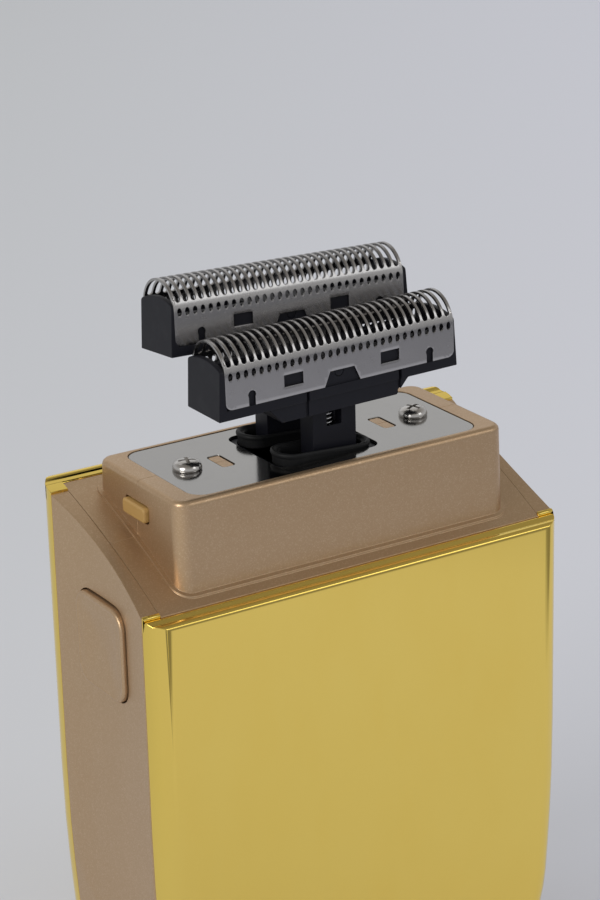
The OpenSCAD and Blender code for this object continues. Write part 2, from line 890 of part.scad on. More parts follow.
// Outline of a comb's flank in X and Z
function comb_outline() = concat(
    [[-comb_half_l, 12]],
    arc(0.9 - comb_half_l, comb_low + 0.9, 0.9, 180, 270, 4),
    [[-2.65, comb_low], [-1.8, comb_low + 1.93], [1.8, comb_low + 1.93], [2.65, comb_low]],
    arc(comb_half_l - 0.9, comb_low + 0.9, 0.9, 270, 360, 4),
    [[comb_half_l, 12]]);

module cutter_comb() {
    first = -slot_pitch * (slot_count - 1) / 2;
    color("silver")
        difference() {
            intersection() {
                along_cutter(2 * comb_half_l)
                    polygon(arch_points(cutter_w / 2, comb_low));
                through_width(FAR)
                    polygon(comb_outline());
            }
            along_cutter(2 * FAR)
                polygon(arch_points(cutter_w / 2 - comb_t, -OVER));
            for (i = [0:slot_count - 1])
                translate([first + i * slot_pitch, 0, 0]) {
                    box([-slot_w / 2, -FAR, 6.8], [slot_w / 2, FAR, FAR]);
                    through_width(FAR)
                        polygon([[-0.3, 5.27], [0, 5.03], [0.3, 5.27], [0.3, 5.89], [0, 6.13], [-0.3, 5.89]]);
                }
            for (side = [-1, 1]) {
                box([side * 7.15 - 1.4, -FAR, 2.65], [side * 7.15 + 1.4, FAR, 4.2]);
                box([side * 13.2 - 0.48, -FAR, 0], [side * 13.2 + 0.48, FAR, 2.75]);
                rod_y(side * 13.2, 2.75, 0.58, -FAR, FAR);
            }
        }
}

module front_cutter_carrier() {
    at_cutter(rest_shift, -lane_y, front_foot, front_rock)
        cutter_carrier();
}

module rear_cutter_carrier() {
    at_cutter(-rest_shift, lane_y, rear_foot, rear_rock, rear_lean)
        cutter_carrier();
}

module front_cutter_comb() {
    at_cutter(rest_shift, -lane_y, front_foot, front_rock)
        cutter_comb();
}

module rear_cutter_comb() {
    at_cutter(-rest_shift, lane_y, rear_foot, rear_rock, rear_lean)
        cutter_comb();
}

// ---------- motor ----------

module motor_can() {
    color("silver")
        difference() {
            union() {
                intersection() {
                    translate([0, 0, motor_low])
                        cylinder(r = motor_r, h = motor_l);
                    box([-FAR, -motor_half_d, 0], [FAR, motor_half_d, FAR]);
                }
                translate([0, 0, chassis_z - OVER])
                    cylinder(r = 3, h = 1.2 + OVER);
            }
            translate([0, 0, motor_low - OVER])
                cylinder(r = rod_r + running_gap, h = FAR);
            for (side = [-1, 1])
                translate([side * 8, 0, chassis_z - 3])
                    cylinder(r = m2_pilot_r, h = FAR);
        }
}

module motor_end_cap() {
    color("white")
        difference() {
            union() {
                intersection() {
                    translate([0, 0, motor_low - 2.4])
                        cylinder(r = motor_r - 0.2, h = 2.4);
                    box([-FAR, 0.2 - motor_half_d, 0], [FAR, motor_half_d - 0.2, FAR]);
                }
                for (side = [-1, 1])
                    box([side * 6 - 0.8, 1.8, motor_low - 3.4], [side * 6 + 0.8, 2.2, motor_low - 2.4]);
            }
            translate([0, 0, motor_low - 1.2])
                cylinder(r = rod_r + running_gap, h = FAR);
        }
}

module motor_shaft() {
    color("lightgray")
        translate([0, 0, motor_low - 1.1])
            cylinder(r = rod_r, h = upper_disc_z + disc_t + 0.2 - motor_low + 1.1);
}

module motor_screws() {
    color("gray")
        for (side = [-1, 1])
            translate([side * 8, 0, chassis_z + 0.7])
                pan_screw(3, head_r = 1.7, head_h = 0.8);
}

module double_eccentric() {
    lean = [throw * cos(crank_angle), throw * sin(crank_angle)];
    color("beige")
        difference() {
            union() {
                translate([0, 0, chassis_z + chassis_t + 0.3])
                    cylinder(r = 2, h = upper_disc_z + disc_t - chassis_z - chassis_t - 0.3);
                translate([-lean[0], -lean[1], lower_disc_z])
                    cylinder(r = disc_r, h = disc_t);
                translate([lean[0], lean[1], upper_disc_z])
                    cylinder(r = disc_r, h = disc_t);
            }
            translate([0, 0, chassis_z])
                cylinder(r = rod_r + 0.01, h = FAR);
        }
}

// ---------- head release, drawn for the left ----------

module latch() {
    color("khaki")
        difference() {
            union() {
                box([-latch_x, -4, latch_spring_z - 4], [latch_t - latch_x, 4, ceiling_z - 0.2]);
                translate([-plinth_w / 2 - 0.7, 0, nose_z])
                    plate_x(nose_size[0], nose_size[1], 0.5, plinth_w / 2 + 0.7 - latch_x + 0.2);
            }
            box([-latch_x - OVER, -2, release_z - 2], [latch_t - latch_x + OVER, 2, release_z + 2]);
        }
}

module release_button() {
    face_x = -body_w / 2;
    color("rosybrown") {
        difference() {
            translate([face_x, release_y, release_z])
                plate_x(release_w, release_h, release_r, release_t);
            translate([face_x - 60 + 0.3, release_y, release_z])
                rotate([0, 0, 90])
                    sphere(r = 60, $fn = 200);
        }
        box([face_x + release_t - 0.1, -2.5, release_z - 2.5], [-latch_x, 2.5, release_z + 2.5]);
        box([-latch_x - 0.1, -2, release_z - 2], [latch_t - latch_x, 2, release_z + 2]);
    }
}

module latch_spring() {
    color("silver")
        translate([latch_t - latch_x, 0, latch_spring_z])
            rotate([0, 90, 0])
                coil(1.5, 0.2, latch_x - latch_t - skirt_x, 5);
}

module left_latch() {
    latch();
}

module right_latch() {
    mirror([1, 0, 0])
        latch();
}

module left_release_button() {
    release_button();
}

module right_release_button() {
    mirror([1, 0, 0])
        release_button();
}

module left_latch_spring() {
    latch_spring();
}

module right_latch_spring() {
    mirror([1, 0, 0])
        latch_spring();
}

// ---------- battery ----------

module battery_cell() {
    color("steelblue") {
        rod_x(cell_y, cell_z, cell_r, -cell_half_l, cell_half_l - 0.5);
        rod_x(cell_y, cell_z, 2.5, cell_half_l - 0.6, cell_half_l + 0.3);
    }
}

module battery_cradle() {
    end_t = 1.4;
    color("dimgray")
        difference() {
            box([-cell_half_l - 0.4 - end_t, -inner_y, cell_z - cell_r - 0.6],
                [cell_half_l + 0.7 + end_t, cell_y, cell_z + cell_r + 0.6]);
            rod_x(cell_y, cell_z, cell_r + 0.05, -cell_half_l - 0.4, cell_half_l + 0.7);
        }
}

module battery_contacts() {
    color("lightgray") {
        box([cell_half_l + 0.3, cell_y - 3, cell_z - 4], [cell_half_l + 0.7, cell_y + 3, cell_z + 4]);
        box([-cell_half_l - 0.4, cell_y - 3, cell_z - 4], [-cell_half_l, cell_y + 3, cell_z + 4]);
    }
}

module battery_wires() {
    color("red")
        for (side = [-1, 1]) {
            tab_x = side * (cell_half_l + 0.5);
            tube([[tab_x, cell_y + 2, cell_z + 4], [tab_x, cell_y + 2, 32.2], [side * 21.7, 0.3, 33.6],
                [side * 21.2, 2, 34.4], [side * 20, 4, 34.6], [side * 18.6, 5.2, 34.6], [side * 17.2, 5.4, 34.6],
                [side * board_half_w, 5.4, 34.6]], 0.45, [0, 0.4, 1]);
        }
}

module motor_wires() {
    color("red")
        for (side = [-1, 1])
            tube([[side * 6, 2, motor_low - 3.4], [side * 6, 2.3, 35.9], [side * 6, 3, 35.4],
                [side * 6, 4, 35.2], [side * 6, board_y, 35.2]], 0.45, [1, 0, 0]);
}

// ---------- electronics ----------

module circuit_board() {
    color("green")
        difference() {
            box([-board_half_w, board_y, board_z[0]], [board_half_w, board_y + board_t, board_z[1]]);
            for (p = board_screws_at)
                rod_y(p[0], p[1], 0.9, 0, 10);
        }
}

module board_screws() {
    color("gray")
        for (p = board_screws_at)
            translate([p[0], board_y, p[1]])
                rotate([90, 0, 0])
                    pan_screw(4, head_r = 1.5, head_h = 1, shank_r = 0.8);
}

module tact_switch() {
    color("dimgray") {
        translate([0, board_y + board_t, power_z])
            plate_y(6, 6, 0.3, 2.4);
        rod_y(0, power_z, 1.7, board_y + board_t + 2.3, board_y + board_t + 3.1);
    }
}

module indicator_leds() {
    color("white")
        for (x = [-4, 0, 4])
            box([x - 0.8, board_y + board_t, lens_z - 0.5], [x + 0.8, board_y + board_t + 0.7, lens_z + 0.5]);
}

module charging_board() {
    color("green")
        box([-15, -8, charge_board_z], [15, board_y - 0.3, charge_board_z + 1]);
}

module charging_socket() {
    color("silver")
        difference() {
            slab(socket_size[0], socket_size[1], 1.55, socket_low, charge_board_z - socket_low);
            slab(socket_size[0] - 0.6, socket_size[1] - 0.6, 1.25, socket_low - OVER, 7);
        }
    color("black")
        box([-3.3, -0.35, socket_low + 0.6], [3.3, 0.35, socket_low + 7]);
}

module power_button() {
    face_y = body_d / 2 - 0.2;
    color("goldenrod")
        difference() {
            union() {
                rod_y(0, power_z, power_r, inner_y - 0.3, face_y);
                rod_y(0, power_z, power_r + 1, inner_y - 0.8, inner_y - 0.2);
            }
            translate([0, face_y + 50 - 0.25, power_z])
                sphere(r = 50, $fn = 200);
        }
}

module button_bezel() {
    color("gold")
        difference() {
            rod_y(0, power_z, power_r + 1.6, body_d / 2 - 0.9, body_d / 2);
            rod_y(0, power_z, power_r + 0.2, 0, FAR);
        }
}

module indicator_lens() {
    color("white")
        translate([0, board_y + board_t + 1.2, lens_z])
            plate_y(lens_size[0], lens_size[1], 0.6, body_d / 2 - 0.1 - board_y - board_t - 1.2);
}

front_housing();
rear_housing();
left_side_panel();
right_side_panel();
front_cover();
rear_cover();
bottom_cap();
top_plate();
plate_screws();
cap_screws();
case_screws();
boot_frame();
front_drive_boot();
rear_drive_boot();
chassis();
front_guide_rod();
rear_guide_rod();
front_drive_slide();
rear_drive_slide();
front_cutter_spring();
rear_cutter_spring();
front_plunger();
rear_plunger();
front_pivot_pin();
rear_pivot_pin();
front_cutter_carrier();
rear_cutter_carrier();
front_cutter_comb();
rear_cutter_comb();
motor_can();
motor_end_cap();
motor_shaft();
motor_screws();
double_eccentric();
left_latch();
right_latch();
left_release_button();
right_release_button();
left_latch_spring();
right_latch_spring();
battery_cell();
battery_cradle();
battery_contacts();
circuit_board();
board_screws();
tact_switch();
indicator_leds();
charging_board();
charging_socket();
power_button();
button_bezel();
indicator_lens();
motor_wires();
battery_wires();
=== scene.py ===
"""Looks of a double-cutter shaver with its foil head off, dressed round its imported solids.

Everything is in metres in the solids' own frame: +Z up, the base on z = 0, and the plain front cover
towards -Y. A visible solid is copied, its triangles joined and its edges softened; what needs a finer
shape is built anew; what lies inside keeps its solid and gets its finish.
"""

from __future__ import annotations

import json
import logging
import math
import sys
from collections.abc import Callable, Sequence
from dataclasses import dataclass, field
from enum import Enum

import bmesh
import bpy
from bmesh.types import BMEdge, BMesh, BMFace, BMVert
from mathutils import Matrix, Vector

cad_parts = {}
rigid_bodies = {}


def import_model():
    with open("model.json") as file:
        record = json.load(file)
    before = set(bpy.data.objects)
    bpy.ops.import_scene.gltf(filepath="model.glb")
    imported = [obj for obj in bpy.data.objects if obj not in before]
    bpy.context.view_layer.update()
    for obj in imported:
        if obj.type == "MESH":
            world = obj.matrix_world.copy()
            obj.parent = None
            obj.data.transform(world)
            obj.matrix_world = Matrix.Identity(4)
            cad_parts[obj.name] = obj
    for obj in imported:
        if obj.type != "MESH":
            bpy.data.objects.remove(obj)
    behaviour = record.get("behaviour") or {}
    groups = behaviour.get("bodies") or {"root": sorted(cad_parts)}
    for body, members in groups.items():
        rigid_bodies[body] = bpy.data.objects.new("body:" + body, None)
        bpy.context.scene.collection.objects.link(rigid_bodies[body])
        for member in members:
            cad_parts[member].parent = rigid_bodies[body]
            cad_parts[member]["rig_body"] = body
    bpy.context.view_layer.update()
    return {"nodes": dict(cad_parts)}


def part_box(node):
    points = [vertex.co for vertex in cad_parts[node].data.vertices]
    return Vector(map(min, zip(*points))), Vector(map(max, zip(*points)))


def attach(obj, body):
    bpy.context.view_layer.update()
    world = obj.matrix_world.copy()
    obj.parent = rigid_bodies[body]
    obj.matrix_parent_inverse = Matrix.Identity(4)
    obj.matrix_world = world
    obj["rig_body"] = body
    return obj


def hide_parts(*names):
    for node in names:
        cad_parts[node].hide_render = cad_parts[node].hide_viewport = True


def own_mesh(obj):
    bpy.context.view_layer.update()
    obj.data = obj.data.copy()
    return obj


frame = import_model()

MM = 0.001
LEAST_TURN = 40.0
JOIN_DIST = 2e-6
FLAT_TURN = 0.4
LOG = logging.getLogger("shaver")

Colour = tuple[float, float, float]
Pair = tuple[float, float]
Socket = bpy.types.NodeSocket


# ---- shader trees


class Value:
    """A number socket that ordinary arithmetic can be written on."""

    def __init__(self, tree: ShaderTree, socket: Socket) -> None:
        """Wraps a socket.

        Args:
            tree: the tree that new Math nodes go into.
            socket: the output that holds the number.
        """
        self.tree = tree
        self.socket = socket

    def _math(self, operation: str, first: Value | float, second: Value | float) -> Value:
        """Adds one Math node.

        Args:
            operation: the node's operation.
            first: its first number.
            second: its second number.

        Returns:
            The node's result.
        """
        made = self.tree.node("ShaderNodeMath", {"operation": operation}, {0: first, 1: second})
        return Value(self.tree, made.outputs[0])

    def __add__(self, other: Value | float) -> Value:
        """Sum."""
        return self._math("ADD", self, other)

    def __radd__(self, other: float) -> Value:
        """Sum, with the number in front."""
        return self._math("ADD", other, self)

    def __sub__(self, other: Value | float) -> Value:
        """Difference."""
        return self._math("SUBTRACT", self, other)

    def __rsub__(self, other: float) -> Value:
        """Difference, with the number in front."""
        return self._math("SUBTRACT", other, self)

    def __mul__(self, other: Value | float) -> Value:
        """Product."""
        return self._math("MULTIPLY", self, other)

    def __rmul__(self, other: float) -> Value:
        """Product, with the number in front."""
        return self._math("MULTIPLY", other, self)

    def at_most(self, other: Value | float) -> Value:
        """The smaller of two numbers."""
        return self._math("MINIMUM", self, other)


Operand = Value | Socket | float | Sequence[float]


class ShaderTree:
    """Builds the nodes of one material or of the world."""

    def __init__(self, nodes: bpy.types.NodeTree) -> None:
        """Starts from an empty tree.

        Args:
            nodes: the tree to fill.
        """
        self.nodes = nodes
        nodes.nodes.clear()

    def node(self, kind: str, settings: dict[str, object] | None = None,
             inputs: dict[str | int, Operand] | None = None) -> bpy.types.Node:
        """Adds a node of any type.

        Args:
            kind: the node's type name.
            settings: its own settings; "stops" gives a ramp pairs of position and grey level.
            inputs: values or links of its sockets, by name or number.

        Returns:
            The new node.
        """
        made = self.nodes.nodes.new(kind)
        for name, value in (settings or {}).items():
            if name != "stops":
                setattr(made, name, value)
                continue
            elements = made.color_ramp.elements
            while len(elements) < len(value):
                elements.new(1.0)
            for element, (position, level) in zip(elements, value):
                element.position = position
                element.color = (level, level, level, 1.0)
        for key, value in (inputs or {}).items():
            socket = made.inputs[key]
            if isinstance(value, Value):
                self.nodes.links.new(value.socket, socket)
            elif isinstance(value, Socket):
                self.nodes.links.new(value, socket)
            else:
                socket.default_value = value
        return made

    def place(self, scale: Sequence[float] = (1, 1, 1), turn: Sequence[float] = (0, 0, 0)) -> Socket:
        """Object coordinates, stretched and turned.

        Args:
            scale: how much finer a pattern is along each axis.
            turn: its turn about each axis, in radians.

        Returns:
            The vector socket.
        """
        here = self.node("ShaderNodeTexCoord").outputs["Object"]
        made = self.node("ShaderNodeMapping", None, {"Vector": here, "Scale": scale, "Rotation": turn})
        return made.outputs[0]

    def noise(self, size: float, where: Socket | None = None, detail: float = 2.0,
              rough: float = 0.5) -> Value:
        """Soft noise from 0 to 1.

        Args:
            size: the width of one lump, in metres.
            where: the coordinates, or the object's own.
            detail: how many finer layers lie on it.
            rough: how strong those layers are.

        Returns:
            The noise.
        """
        made = self.node("ShaderNodeTexNoise", None, {
            "Vector": where or self.place(), "Scale": 1 / size, "Detail": detail, "Roughness": rough})
        return Value(self, made.outputs["Fac"])

    def cells(self, size: float) -> Value:
        """Grains that each have one level from 0 to 1.

        Args:
            size: the width of a grain, in metres.

        Returns:
            The level of the grain at each point.
        """
        made = self.node("ShaderNodeTexVoronoi", None, {"Vector": self.place(), "Scale": 1 / size})
        split = self.node("ShaderNodeSeparateColor", None, {0: made.outputs["Color"]})
        return Value(self, split.outputs[0])

    def ramp(self, value: Value, stops: Sequence[Pair]) -> Value:
        """Sends a number through a curve of straight stretches.

        Args:
            value: the number.
            stops: pairs of position and level.

        Returns:
            The level.
        """
        made = self.node("ShaderNodeValToRGB", {"stops": stops}, {0: value})
        return Value(self, made.outputs["Color"])

    def mix(self, factor: Value, first: Colour | Socket, second: Colour | Socket) -> Socket:
        """Mixes two colours.

        Args:
            factor: 0 for the first, 1 for the second.
            first: the first colour.
            second: the second colour.

        Returns:
            The mixed colour.
        """
        ends = [c if isinstance(c, Socket) else (*c, 1.0) for c in (first, second)]
        made = self.node("ShaderNodeMix", {"data_type": "RGBA"}, {0: factor, 6: ends[0], 7: ends[1]})
        return made.outputs[2]

    def relief(self, height: Value, depth: float, strength: float = 1.0) -> Socket:
        """Turns a height pattern into a bumped normal.

        Args:
            height: the pattern, from 0 to 1.
            depth: how deep it is, in metres.
            strength: how much of it counts.

        Returns:
            The normal.
        """
        made = self.node("ShaderNodeBump", None, {"Strength": strength, "Distance": depth, "Height": height})
        return made.outputs[0]

    def surface(self, colour: Socket, roughness: Operand, normal: Socket | None, **fixed: float) -> None:
        """Closes the tree with one Principled shader.

        Args:
            colour: its base colour.
            roughness: how matt it is.
            normal: its bumped normal, or None.
            fixed: its other sockets, with _ for each space in their names.
        """
        inputs = {"Base Color": colour, "Roughness": roughness}
        if normal is not None:
            inputs["Normal"] = normal
        for name, value in fixed.items():
            inputs[name.replace("_", " ")] = value
        shader = self.node("ShaderNodeBsdfPrincipled", None, inputs)
        self.node("ShaderNodeOutputMaterial", None, {"Surface": shader.outputs[0]})


class Grain(Enum):
    """Which way the brushing of a steel part runs, as the stretch of its pattern along X, Y and Z."""

    ALONG_X = (0.04, 1.0, 1.0)
    ALONG_Z = (1.0, 1.0, 0.04)
    NONE = (1.0, 1.0, 1.0)


@dataclass(frozen=True)
class Finish:
    """A finish that pieces are dressed in; each kind of finish draws its own nodes."""

    name: str

    def draw(self, tree: ShaderTree) -> None:
        """Draws the nodes.

        Args:
            tree: the empty tree of the material.
        """
        raise NotImplementedError

    def material(self) -> bpy.types.Material:
        """The Blender material of this finish, made on first use."""
        title = f"{self.name}_finish"
        known = bpy.data.materials.get(title)
        if known is not None:
            return known
        made = bpy.data.materials.new(title)
        made.use_nodes = True
        self.draw(ShaderTree(made.node_tree))
        return made


@dataclass(frozen=True)
class Plating(Finish):
    """Mirror plating on moulded plastic: faint waves, hairline wipes and a few dull smears."""

    colour: Colour
    deep: Colour
    roughness: float = 0.07
    wave: float = 14 * MM
    wave_depth: float = 0.004 * MM

    def draw(self, tree: ShaderTree) -> None:
        """Draws the plating.

        Args:
            tree: the empty tree of the material.
        """
        smear = tree.noise(6 * MM, tree.place((1, 1, 0.35)), 4.0, 0.6)
        hair = tree.noise(0.08 * MM, tree.place((1, 1, 0.03)), 1.0)
        tone = tree.noise(22 * MM, detail=2.0)
        dull = tree.ramp(smear, ((0.45, 0.0), (0.8, 1.0)))
        tree.surface(
            tree.mix(tone * 0.6 + dull * 0.25, self.colour, self.deep),
            self.roughness + dull * 0.05 + hair * 0.03,
            tree.relief(tree.noise(self.wave, detail=1.0), self.wave_depth),
            Metallic=1.0, IOR=1.5,
        )


@dataclass(frozen=True)
class FlakePaint(Finish):
    """Matte metallic paint: fine bright flakes in a brown-pink base."""

    colour: Colour
    shade: Colour
    glint: Colour
    flake: float = 0.11 * MM
    roughness: float = 0.36

    def draw(self, tree: ShaderTree) -> None:
        """Draws the paint.

        Args:
            tree: the empty tree of the material.
        """
        flakes = tree.cells(self.flake)
        drift = tree.noise(9 * MM, detail=3.0)
        mist = tree.noise(0.5 * MM, detail=2.0)
        base = tree.mix(drift * 0.5 + mist * 0.25, self.colour, self.shade)
        bright = tree.ramp(flakes, ((0.72, 0.0), (1.0, 1.0)))
        tree.surface(
            tree.mix(bright * 0.3, base, self.glint),
            self.roughness + mist * 0.08 - bright * 0.06,
            tree.relief(flakes, 0.0012 * MM, 0.5),
            Metallic=0.86, IOR=1.5,
        )


@dataclass(frozen=True)
class Steel(Finish):
    """Bare or plated metal with brushing or a fine random grain, and faint stains."""

    colour: Colour
    stain: Colour
    roughness: float = 0.3
    grain: Grain = Grain.NONE
    grain_size: float = 0.07 * MM
    depth: float = 0.002 * MM
    scatter: float = 0.16

    def draw(self, tree: ShaderTree) -> None:
        """Draws the metal.

        Args:
            tree: the empty tree of the material.
        """
        lines = tree.noise(self.grain_size, tree.place(self.grain.value), 2.0)
        cloud = tree.noise(5 * MM, detail=3.0, rough=0.6)
        spots = tree.ramp(tree.noise(1.3 * MM, detail=4.0, rough=0.65), ((0.55, 0.0), (0.8, 1.0)))
        tree.surface(
            tree.mix(cloud * 0.5 + spots * 0.35, self.colour, self.stain),
            self.roughness + (lines - 0.5) * self.scatter + spots * self.scatter * 0.4,
            tree.relief(lines, self.depth),
            Metallic=1.0,
        )


@dataclass(frozen=True)
class Moulding(Finish):
    """Moulded plastic: fine spark-eroded texture, slight flow marks, and dust or polish in patches."""

    colour: Colour
    patch: Colour
    roughness: float = 0.4
    texture: float = 0.12 * MM
    depth: float = 0.004 * MM
    shine: float = 0.5

    def draw(self, tree: ShaderTree) -> None:
        """Draws the plastic.

        Args:
            tree: the empty tree of the material.
        """
        flow = tree.noise(4 * MM, tree.place((1, 1, 0.5)), 3.0)
        fine = tree.noise(self.texture, detail=2.0)
        rub = tree.ramp(tree.noise(2.2 * MM, detail=4.0, rough=0.6), ((0.48, 0.0), (0.75, 1.0)))
        tree.surface(
            tree.mix(flow * 0.4 + rub * 0.3, self.colour, self.patch),
            self.roughness + (fine - 0.5) * 0.12 - rub * 0.07,
            tree.relief(fine, self.depth),
            Metallic=0.0, IOR=1.5, Specular_IOR_Level=self.shine,
        )


@dataclass(frozen=True)
class BoardMask(Finish):
    """Solder mask of a circuit board, with tracks showing through it."""

    colour: Colour
    track: Colour

    def draw(self, tree: ShaderTree) -> None:
        """Draws the mask.

        Args:
            tree: the empty tree of the material.
        """
        here = tree.place((1, 1, 1), (math.radians(90), 0, 0))
        brick = tree.node("ShaderNodeTexBrick", {"offset": 0.37, "squash": 1.6}, {
            "Vector": here, "Color1": (0, 0, 0, 1), "Color2": (0, 0, 0, 1), "Mortar": (1, 1, 1, 1),
            "Scale": 1 / (4 * MM), "Mortar Size": 0.05, "Brick Width": 0.9, "Row Height": 0.32})
        lines = tree.ramp(Value(tree, brick.outputs["Fac"]), ((0.4, 0.0), (0.6, 1.0)))
        cloud = tree.noise(3 * MM, detail=3.0)
        tree.surface(
            tree.mix(lines * 0.7 + cloud * 0.2, self.colour, self.track),
            0.32 + cloud * 0.12,
            tree.relief(lines, 0.03 * MM),
            Metallic=0.0,
        )


GOLD = Plating("gold_plating", (0.93, 0.70, 0.17), (0.90, 0.64, 0.13))
CHAMPAGNE = FlakePaint("champagne_paint", (0.535, 0.378, 0.235), (0.485, 0.322, 0.18), (0.78, 0.62, 0.44))
PLATE_STEEL = Steel("plate_steel", (0.345, 0.337, 0.325), (0.30, 0.293, 0.28), 0.13, Grain.ALONG_X, 0.06 * MM,
                    0.0002 * MM, 0.05)
COMB_STEEL = Steel("comb_steel", (0.43, 0.42, 0.415), (0.35, 0.34, 0.335), 0.25, Grain.ALONG_X, 0.05 * MM,
                   0.0006 * MM, 0.08)
SCREW_STEEL = Steel("screw_steel", (0.60, 0.585, 0.565), (0.48, 0.46, 0.44), 0.22, Grain.NONE, 0.09 * MM,
                    0.0004 * MM, 0.05)
SPRING_STEEL = Steel("spring_steel", (0.50, 0.50, 0.50), (0.38, 0.38, 0.38), 0.2, Grain.NONE, 0.05 * MM)
ROD_STEEL = Steel("rod_steel", (0.72, 0.72, 0.71), (0.62, 0.62, 0.61), 0.15, Grain.ALONG_X, 0.05 * MM)
MOTOR_STEEL = Steel("motor_steel", (0.66, 0.65, 0.62), (0.56, 0.55, 0.52), 0.3, Grain.ALONG_Z, 0.08 * MM)
NICKEL = Steel("contact_nickel", (0.70, 0.67, 0.60), (0.60, 0.56, 0.48), 0.22, Grain.NONE, 0.08 * MM)
BLACK = Moulding("black_plastic", (0.0070, 0.0072, 0.0108), (0.0108, 0.0110, 0.0155), 0.44, 0.10 * MM,
                 shine=0.2)
RUBBER = Moulding("boot_rubber", (0.0062, 0.0064, 0.0070), (0.012, 0.012, 0.0125), 0.55, 0.16 * MM,
                  0.006 * MM, 0.25)
LATCH_YELLOW = Moulding("latch_yellow", (0.42, 0.255, 0.085), (0.37, 0.215, 0.065), 0.42, shine=0.3)
ACETAL = Moulding("acetal_white", (0.78, 0.77, 0.73), (0.70, 0.69, 0.64), 0.38)
CHASSIS_GREY = Moulding("chassis_grey", (0.16, 0.165, 0.17), (0.13, 0.135, 0.14), 0.5)
SLEEVE = Moulding("cell_sleeve", (0.03, 0.10, 0.26), (0.025, 0.085, 0.22), 0.25, 0.4 * MM, 0.01 * MM)
WIRE_RED = Moulding("wire_red", (0.42, 0.015, 0.012), (0.36, 0.012, 0.01), 0.4)
LED_RESIN = Moulding("led_resin", (0.86, 0.85, 0.76), (0.80, 0.78, 0.66), 0.25)
LENS = Moulding("smoked_lens", (0.62, 0.60, 0.55), (0.56, 0.54, 0.49), 0.16, 0.5 * MM, 0.002 * MM)
BOARD = BoardMask("board_green", (0.012, 0.10, 0.045), (0.03, 0.20, 0.09))


# ---- mesh helpers


def made_of(made: dict[str, list], kind: type) -> list:
    """The elements of one kind among what an operator made.

    Args:
        made: the operator's result.
        kind: vertices, edges or faces.

    Returns:
        The elements.
    """
    return [g for g in made["geom"] if isinstance(g, kind)]


def copy_of(node: str) -> BMesh:
    """A CAD node's mesh as a closed skin of whole flat faces.

    Args:
        node: the CAD node's name.

    Returns:
        The new mesh.
    """
    bm = bmesh.new()
    bm.from_mesh(frame["nodes"][node].data)
    bmesh.ops.remove_doubles(bm, verts=bm.verts, dist=JOIN_DIST)
    bmesh.ops.dissolve_degenerate(bm, dist=1e-6, edges=bm.edges)
    bmesh.ops.dissolve_limit(bm, angle_limit=math.radians(FLAT_TURN), verts=bm.verts, edges=bm.edges)
    return bm


def soften(bm: BMesh, width: float, segments: int = 2,
           where: Callable[[Vector], bool] | None = None) -> BMesh:
    """Rounds the sharp edges of a mesh.

    Args:
        bm: the mesh.
        width: how far the rounding reaches.
        segments: how many facets it has.
        where: keeps only edges whose middle it accepts.

    Returns:
        The same mesh.
    """
    limit = math.radians(LEAST_TURN)
    sharp = [e for e in bm.edges if e.is_manifold and e.calc_face_angle(0.0) > limit
             and (where is None or where((e.verts[0].co + e.verts[1].co) / 2))]
    bmesh.ops.bevel(bm, geom=sharp, offset=width, offset_type="OFFSET", segments=segments,
                    profile=0.5, affect="EDGES", clamp_overlap=False, material=-1)
    return bm


def punch(bm: BMesh, corners: Sequence[Pair]) -> None:
    """Cuts a convex opening out of a flat sheet that lies in X and Y.

    Args:
        bm: the sheet.
        corners: the opening's corners, anticlockwise.
    """
    low = [min(c[k] for c in corners) - 1e-7 for k in (0, 1)]
    high = [max(c[k] for c in corners) + 1e-7 for k in (0, 1)]
    sides = [(Vector((x0, y0, 0)), Vector((y1 - y0, x0 - x1, 0)).normalized())
             for (x0, y0), (x1, y1) in zip(corners, [*corners[1:], corners[0]])]

    def near(face: BMFace) -> bool:
        """Whether a face may reach into the opening."""
        return all(min(v.co[k] for v in face.verts) < high[k] and max(v.co[k] for v in face.verts) > low[k]
                   for k in (0, 1))

    faces = [f for f in bm.faces if near(f)]
    for spot, outward in sides:
        geom = {*faces, *(e for f in faces for e in f.edges), *(v for f in faces for v in f.verts)}
        made = bmesh.ops.bisect_plane(bm, geom=list(geom), plane_co=spot, plane_no=outward, dist=1e-8)
        faces = [f for f in made_of(made, BMFace) if near(f)]
    inside = [f for f in faces
              if all((f.calc_center_median() - spot).dot(outward) < 0 for spot, outward in sides)]
    bmesh.ops.delete(bm, geom=inside, context="FACES")


def outline_ring(bm: BMesh, half: Pair, radius: float, z: float, corner: int) -> list[BMEdge]:
    """Adds a ring in the outline of a round-cornered rectangle.

    Args:
        bm: the mesh.
        half: half its length along X and along Y.
        radius: of its corners.
        z: its height.
        corner: how many edges make a corner.

    Returns:
        The ring's edges.
    """
    turn = Matrix.Rotation(math.pi / (4 * corner), 4, "Z")
    place = Matrix.Translation((0, 0, z)) @ turn
    made = bmesh.ops.create_circle(bm, segments=4 * corner, radius=radius, matrix=place)
    for v in made["verts"]:
        v.co.x += math.copysign(half[0] - radius, v.co.x)
        v.co.y += math.copysign(half[1] - radius, v.co.y)
    return list({e for v in made["verts"] for e in v.link_edges})


def next_ring(bm: BMesh, ring: list[BMEdge], half: Pair, z: float) -> list[BMEdge]:
    """Carries a ring on to another size and height, with a skin between them.

    Args:
        bm: the mesh.
        ring: the ring's edges.
        half: half the new ring's length along X and along Y.
        z: its height.

    Returns:
        The new ring's edges.
    """
    made = bmesh.ops.extrude_edge_only(bm, edges=ring)
    verts = made_of(made, BMVert)
    old = (max(abs(v.co.x) for v in verts), max(abs(v.co.y) for v in verts))
    bmesh.ops.scale(bm, vec=(half[0] / old[0], half[1] / old[1], 1), verts=verts)
    bmesh.ops.translate(bm, vec=(0, 0, z - verts[0].co.z), verts=verts)
    return made_of(made, BMEdge)


